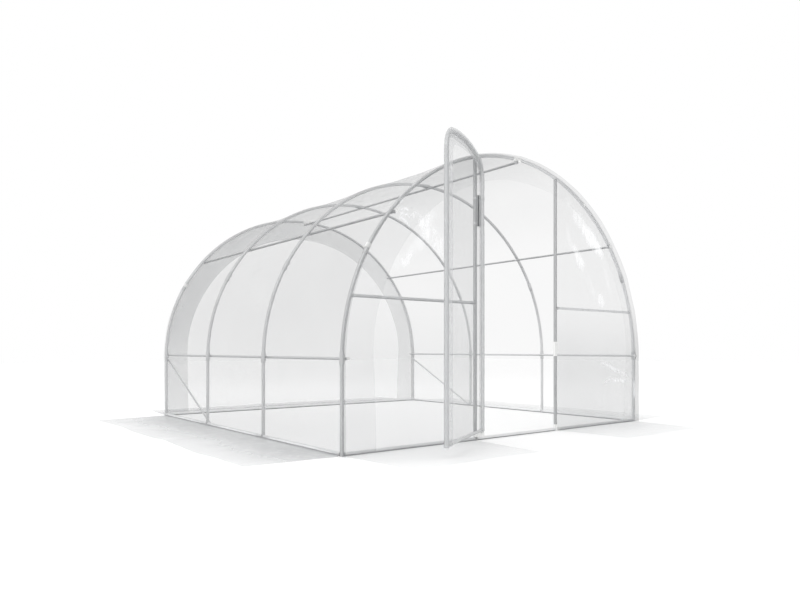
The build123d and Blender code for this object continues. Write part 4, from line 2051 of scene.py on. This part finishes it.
@dataclass
class Hinge(Assembly):
    """The hinge between the left post and the door's stile, with its clamps and end caps.

    It is modelled round the Z axis, with X from the post to the stile, and then put in its place.
    """

    knuckles: int = 5
    groove: float = 1.2 * MM
    neck: float = 0.8
    barrel_radius: float = 6.8 * MM
    barrel_wall: float = 2 * MM
    barrel_shift: float = 2.0 * MM
    leaf: float = 5.0 * MM
    leaf_fit: float = 0.3 * MM
    leaf_start: float = 1 * MM
    leaf_bevel: float = 1.2 * MM
    screw: Bolt = Bolt(2.6 * MM, 1.4 * MM)
    screw_inset: float = 3.2 * MM
    screw_shares: tuple[float, ...] = (-0.72, 0.0, 0.72)
    cap_lip: float = 1.0 * MM
    cap_length: float = 5 * MM
    cap_dome: float = 2.5 * MM
    cap_share: float = 0.7
    cap_lap: float = 4 * MM
    clamp_fit: float = 0.7 * MM
    clamp_wall: float = 2.0 * MM
    clamp_height: float = 16 * MM
    placed: Matrix = field(default_factory=Matrix)

    def build(self) -> None:
        """Make the hinge's leaves, barrel, caps and clamps."""
        half = half_height("hinge_body")
        post, run = self.plane.hinge_post
        middle = Vector((post.x + run.x / 2, post.y + run.y / 2, middle_of("hinge_body").z))
        self.placed = Matrix.Translation(middle) @ Matrix.Rotation(atan2(run.y, run.x), 4, "Z")
        self._leaves(half, run.length / 2 - self.sizes.hoop_radius - self.leaf_fit)
        self._barrel(half)
        self._caps(half)
        self._clamps(run.length)

    def _barrel(self, half: float) -> None:
        """Make the barrel, with a groove between its knuckles.

        Args:
            half: Half of its length.
        """
        barrel = self.shaper.start("barrel", UP * -half, UP, self.barrel_radius)
        tall = (2 * half - (self.knuckles - 1) * self.groove) / self.knuckles
        for knuckle in range(self.knuckles):
            if knuckle:
                for rise, factor in ((0.0, self.neck), (self.groove / 2, 1 / self.neck)):
                    pull(UP * rise)
                    widen(factor)
                pull(UP * self.groove / 2)
            pull(UP * tall)
        barrel = self.shaper.finish(barrel, self.barrel_wall)
        barrel.data.transform(Matrix.Translation((-self.barrel_shift, 0, 0)))
        self._put(barrel, self.finishes.dark, Slot.DARK, ["hinge_body"])

    def _leaves(self, half: float, reach: float) -> None:
        """Make the two leaves with their screws.

        Args:
            half: Half of their length.
            reach: How far each goes from the middle.
        """
        start, thick, inset = self.leaf_start, self.leaf / 2, reach - self.screw_inset
        leaves, screws = [], []
        for way in (-1, 1):
            low, high = Vector((way * start, -thick, -half)), Vector((way * reach, thick, half))
            leaves.append(block("leaf", low, high, self.leaf_bevel))
            for share in self.screw_shares:
                screws.append(place_on(Vector((way * inset, -thick, share * half)), -ALONG))
        leaves += copy_to(self.screw.make(), screws)
        self._put(join("hinge_leaves", leaves), self.finishes.steel, Slot.STEEL, [])

    def _caps(self, half: float) -> None:
        """Cap the barrel's ends.

        Args:
            half: Half of the barrel's length.
        """
        rim, top = self.barrel_radius + self.cap_lip, self.cap_length + self.cap_dome
        crown = self.barrel_radius * self.cap_share
        cap = turned("cap", [(rim, 0.0), (rim, self.cap_length), (crown, top)])
        upper, lower = Vector((0, 0, half - self.cap_lap)), Vector((0, 0, self.cap_lap - half))
        ends = [Matrix.Translation(upper), Matrix.Translation(lower) @ Matrix.Rotation(pi, 4, "X")]
        caps = join("hinge_caps", copy_to(cap, ends))
        caps.data.transform(Matrix.Translation((-self.barrel_shift, 0, 0)))
        self._put(caps, self.finishes.white, Slot.WHITE, [])

    def _clamps(self, run: float) -> None:
        """Clamp the hinge to both tubes.

        Args:
            run: The distance between the two tubes.
        """
        low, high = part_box("hinge_straps")
        tall, lift = self.clamp_height, self.placed.translation.z
        feet = (low.z - lift, high.z - lift - tall)
        bore = self.sizes.hoop_radius + self.clamp_fit
        bands, places = [], []
        for across in (-run / 2, run / 2):
            for foot in feet:
                start = Vector((across, 0.0, foot))
                tube = Straight(start, start + UP * tall, bore + self.clamp_wall)
                bands.append(self.shaper.pipe("band", tube, self.clamp_wall))
                front = Vector((across, -bore - self.clamp_wall, foot + tall / 2))
                places.append(place_on(front, -ALONG))
        bands += copy_to(Bolt().make(), places)
        self._put(join("hinge_clamps", bands), self.finishes.steel, Slot.STEEL, ["hinge_straps"])

    def _put(self, piece: Piece, finish: Material, slot: Slot, nodes: Sequence[str]) -> None:
        """Move a piece from the hinge's own axes to its place, and settle it."""
        piece.data.transform(self.placed)
        settle(piece, finish, slot, nodes)


@dataclass
class Feet(Assembly):
    """The white pivot block under the door's stile and the bracket at the other post's foot."""

    wall: float = 3.0 * MM
    fit: float = 0.3 * MM
    web_share: float = 0.62
    web_start: float = 1 * MM
    web_bevel: float = 2 * MM
    boss_rim: float = 1.2 * MM
    pin_step: float = 2.2 * MM
    pin_length: float = 26 * MM
    pin_taper: float = 5 * MM
    pin_top: float = 28 * MM
    bracket_height: float = 48 * MM
    bracket_lift: float = 1 * MM
    arm_start: float = 2 * MM
    arm_end: float = 30 * MM
    arm_slack: float = 0.5 * MM

    def build(self) -> None:
        """Make the block and the bracket."""
        self._pivot()
        self._bracket()

    def _collar(self, place: Vector, height: float) -> Piece:
        """Return a collar that stands round a post."""
        tube = Straight(place, place + UP * height, self.sizes.hoop_radius + self.fit + self.wall)
        return self.shaper.pipe("collar", tube, self.wall)

    def _pivot(self) -> None:
        """Make the block that carries the foot of the door's hinge stile."""
        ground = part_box("pivot_block")[0].z
        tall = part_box("door_frame")[0].z - self.fit - ground
        post, run = self.plane.hinge_post
        radius, rim = self.sizes.hoop_radius, self.boss_rim
        low = Vector((radius + self.web_start, -self.web_share * radius, 0.0))
        web = block("web", low, Vector((run.length, -low.y, tall)), self.web_bevel)
        pin, point = radius - self.pin_step, (radius - self.pin_taper, tall + self.pin_top)
        rings = [(radius - rim, 0.0), (radius, rim), (radius, tall - rim), (radius - rim, tall)]
        boss = turned("boss", [*rings, (pin, tall), (pin, tall + self.pin_length), point], 24)
        boss.data.transform(Matrix.Translation((run.length, 0.0, 0.0)))
        whole = join("pivot_block_round", [web, boss, self._collar(Vector(), tall)])
        turn = Matrix.Rotation(atan2(run.y, run.x), 4, "Z")
        whole.data.transform(Matrix.Translation((post.x, post.y, ground)) @ turn)
        settle(whole, self.finishes.white, Slot.WHITE, ["pivot_block"])

    def _bracket(self) -> None:
        """Make the bracket at the right post's foot."""
        post = middle_of("door_post_right")
        post.z = self.bracket_lift
        collar = self._collar(post, self.bracket_height)
        radius = self.sizes.hoop_radius
        middle = Vector((post.x + radius, post.y, radius + self.bracket_lift))
        start, end = middle + ACROSS * self.arm_start, middle + ACROSS * self.arm_end
        base = Straight(start, end, radius - self.arm_slack + self.wall / 2)
        arm = self.shaper.pipe("arm", base, self.wall / 2)
        settle(join("post_foot_bracket", [collar, arm]), self.finishes.white, Slot.WHITE)


@dataclass
class Fittings(Assembly):
    """Rail caps, cross clamps, sleeve bolts and film clips."""

    cap_lip: float = 0.8 * MM
    cap_length: float = 8 * MM
    cap_shoulder: float = 1.8 * MM
    cap_dome: float = 3 * MM
    cap_shares: Pair = (0.9, 0.55)
    band_half: float = 11 * MM
    band_fit: float = 1.4 * MM
    band_wall: float = 1.2 * MM
    band_bolt: Bolt = Bolt(4.0 * MM, 2.6 * MM)
    bolt_share: float = 0.55
    clip_length: float = 32 * MM
    clip_wall: float = 1.4 * MM
    clip_fit: float = 2.6 * MM
    clip_angle: float = radians(31.2)
    clip_opening: float = 0.5
    clip_shift: float = 18 * MM
    back_clip_shift: float = 8 * MM

    def build(self) -> None:
        """Make the fittings."""
        self._caps()
        self._clamps()
        self._bolts()
        self._clips()

    def _caps(self) -> None:
        """Close both ends of the long members with domed caps."""
        rim, deep = half_height("ridge_purlin") + self.cap_lip, self.cap_length
        rings = [(rim, 0.0), (rim, deep)]
        for share, rise in zip(self.cap_shares, (self.cap_shoulder, self.cap_dome)):
            rings.append((rim * share, deep + rise))
        cap = turned("cap_pattern", rings, 16)
        moves = []
        for node in LONG_NODES:
            rail = Straight.from_node(node, 1)
            for end, out in ((rail.start, -ALONG), (rail.end, ALONG)):
                moves.append(place_on(end - out * deep, out))
        caps = join("rail_caps_round", copy_to(cap, moves))
        settle(caps, self.finishes.white, Slot.WHITE, ["rail_caps"])

    def _clamps(self) -> None:
        """Hang each long member from each hoop in a band with a bolt."""
        radius = half_height("ridge_purlin") + self.band_fit
        tube = Straight(UP * -self.band_half, UP * self.band_half, radius)
        band = TubeShaper(sides=16).pipe("band_pattern", tube, self.band_wall)
        arch, bands, bolts = self.sizes.arch, [], []
        for node in LONG_NODES:
            rail = Straight.from_node(node, 1)
            inwards = Vector((-rail.start.x, 0.0, arch.rib_centre[1] - rail.start.z))
            if node.startswith("side"):
                inwards.z = 0.0
            inwards.normalize()
            for station in self.sizes.stations:
                middle = Vector((rail.start.x, station, rail.start.z))
                bands.append(place_on(middle, ALONG))
                bolts.append(place_on(middle + inwards * radius, inwards))
        pieces = copy_to(band, bands) + copy_to(self.band_bolt.make(), bolts)
        settle(join("cross_clamps", pieces), self.finishes.steel, Slot.STEEL)

    def _bolts(self) -> None:
        """Bolt the sleeves from inside."""
        arch = self.sizes.arch
        shift = self.bolt_share * HoopSet.sleeve_length / 2
        moves = []
        for centre in sleeve_runs(arch):
            for along in (centre - shift, centre + shift):
                place, inwards = arch.at(along, -self.sizes.sleeve_radius), -arch.out(along)
                moves += [place_on(upright(place, y), inwards) for y in self.sizes.stations]
        settle(join("sleeve_bolts", copy_to(Bolt().make(), moves)), self.finishes.steel, Slot.STEEL)

    def _clip(self, radius: float) -> Piece:
        """Return a snap clip on the Z axis that is open towards -X.

        Args:
            radius: Its inner radius.

        Returns:
            The clip.
        """
        foot = UP * (-self.clip_length / 2)
        clip = TubeShaper(sides=20).start("clip_pattern", foot, UP, radius)
        pull(UP * self.clip_length)
        bpy.ops.mesh.select_mode(type=SelectMode.FACE.value)
        mesh = bmesh.from_edit_mesh(clip.data)
        for face in mesh.faces:
            face.select_set(face.calc_center_median().x < -self.clip_opening * radius)
        mesh.select_flush_mode()
        bmesh.update_edit_mesh(clip.data)
        bpy.ops.mesh.delete(type="FACE")
        bpy.ops.object.mode_set(mode="OBJECT")
        modify(clip, "SOLIDIFY", thickness=self.clip_wall, offset=1.0)
        smooth(clip)
        return clip

    def _clips(self) -> None:
        """Snap clips over the film on the end hoops."""
        arch, reach = self.sizes.arch, self.sizes.sleeve_radius
        front, back = self.sizes.stations[0], self.sizes.stations[-1]
        _, coupling, crown, far_coupling, _ = sleeve_runs(arch)
        clips = []
        for along, station, inner in (
            (crown + arch.rib_radius * self.clip_angle, front, self.sizes.hoop_radius),
            (coupling + self.clip_shift, front, reach),
            (coupling + self.back_clip_shift, back, reach),
            (far_coupling - self.back_clip_shift, back, reach),
        ):
            out = arch.out(along)
            tangent = Vector((out.z, 0.0, -out.x))
            turn = Matrix((out, tangent.cross(out), tangent)).transposed().to_4x4()
            clip = self._clip(inner + self.clip_fit)
            clip.data.transform(Matrix.Translation(upright(arch.at(along), station)) @ turn)
            clips.append(clip)
        settle(join("film_clips", clips), self.finishes.white, Slot.WHITE)


# ---- stage ----


@dataclass(frozen=True)
class SoftBox:
    """A square soft light that is aimed at the tunnel."""

    name: str
    place: Triple
    energy: float
    size: float
    target: Triple = (0.0, 0.0, 0.8)

    def hang(self) -> None:
        """Hang the light."""
        lamp = bpy.data.lights.new(self.name, "AREA")
        lamp.energy = self.energy
        lamp.size = self.size
        holder = bpy.data.objects.new(self.name, lamp)
        holder.location = self.place
        aim = Vector(self.target) - Vector(self.place)
        holder.rotation_euler = aim.to_track_quat("-Z", "Y").to_euler()
        bpy.context.scene.collection.objects.link(holder)


@dataclass
class Stage:
    """The floor, the lights and the camera."""

    ground: Material
    camera_place: Triple = (-3.576, -4.677, 0.6195)
    camera_turn: float = radians(38.556)
    lens: float = 29.34
    shift: Pair = (-0.0043, 0.062)
    floor_size: float = 60.0
    world_strength: float = 1.0
    dim_side: Triple = (0.78, -0.62, 0.0)
    dim_strength: float = 0.42
    dim_from: float = 0.53
    dim_full: float = 0.95
    clear_layers: int = 48
    lights: tuple[SoftBox, ...] = (
        SoftBox("key_light", (-5.0, -2.5, 5.0), 60.0, 3.0),
        SoftBox("top_light", (1.0, 3.0, 6.0), 40.0, 4.0),
    )

    def build(self) -> None:
        """Set the stage."""
        self._floor()
        self._world()
        for light in self.lights:
            light.hang()
        self._camera()

    def _floor(self) -> None:
        """Lay a plain floor."""
        deselect()
        bpy.ops.mesh.primitive_plane_add(size=self.floor_size)
        floor = name_it("studio_floor")
        floor.data.materials.append(self.ground)

    def _world(self) -> None:
        """Surround the scene with soft white light, dimmer on one side."""
        world = bpy.data.worlds.new("studio_world")
        world.use_nodes = True
        graph = Graph(world.node_tree)
        background = graph.tree.nodes["Background"]
        graph.feed(background.inputs["Color"], (1.0, 1.0, 1.0, 1.0))
        way = graph.node("ShaderNodeTexCoord", {}).outputs["Generated"]
        facing = graph.node("ShaderNodeVectorMath", {0: way, 1: self.dim_side}, operation="DOT_PRODUCT")
        levels = {"Value": facing.outputs["Value"], "From Min": self.dim_from, "From Max": self.dim_full}
        levels |= {"To Min": self.world_strength, "To Max": self.dim_strength}
        fade = graph.node("ShaderNodeMapRange", levels, interpolation_type="SMOOTHSTEP")
        graph.feed(background.inputs["Strength"], fade.outputs["Result"])
        bpy.context.scene.world = world
        bpy.context.scene.view_settings.view_transform = "Standard"
        bpy.context.scene.cycles.transparent_max_bounces = self.clear_layers

    def _camera(self) -> None:
        """Stand the camera level at its place."""
        camera = bpy.data.cameras.new("studio_camera")
        camera.lens = self.lens
        camera.shift_x, camera.shift_y = self.shift
        holder = bpy.data.objects.new("studio_camera", camera)
        holder.location = self.camera_place
        holder.rotation_euler = (pi / 2, 0.0, -self.camera_turn)
        bpy.context.scene.collection.objects.link(holder)
        bpy.context.scene.camera = holder


FRAMEWORK = (HoopSet, RailSet, EndFrame, Door, Hinge, Feet, Fittings)
COVERING = (Cover, EndSheets, DoorSheets, Skirts)


def main() -> None:
    """Build the greenhouse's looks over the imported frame."""
    logging.basicConfig(level=logging.INFO, format="%(name)s %(message)s")
    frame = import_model()
    deselect()
    finishes = Finishes()
    sizes = Sizes.read()
    shaper = TubeShaper()
    Stage(finishes.ground).build()
    plane = DoorPlane.read(sizes.arch, frame["joints"][0], sizes.hoop_radius)
    for sub_assembly in FRAMEWORK + COVERING:
        sub_assembly(sizes, finishes, shaper, plane).build()


if __name__ == "__main__":
    main()
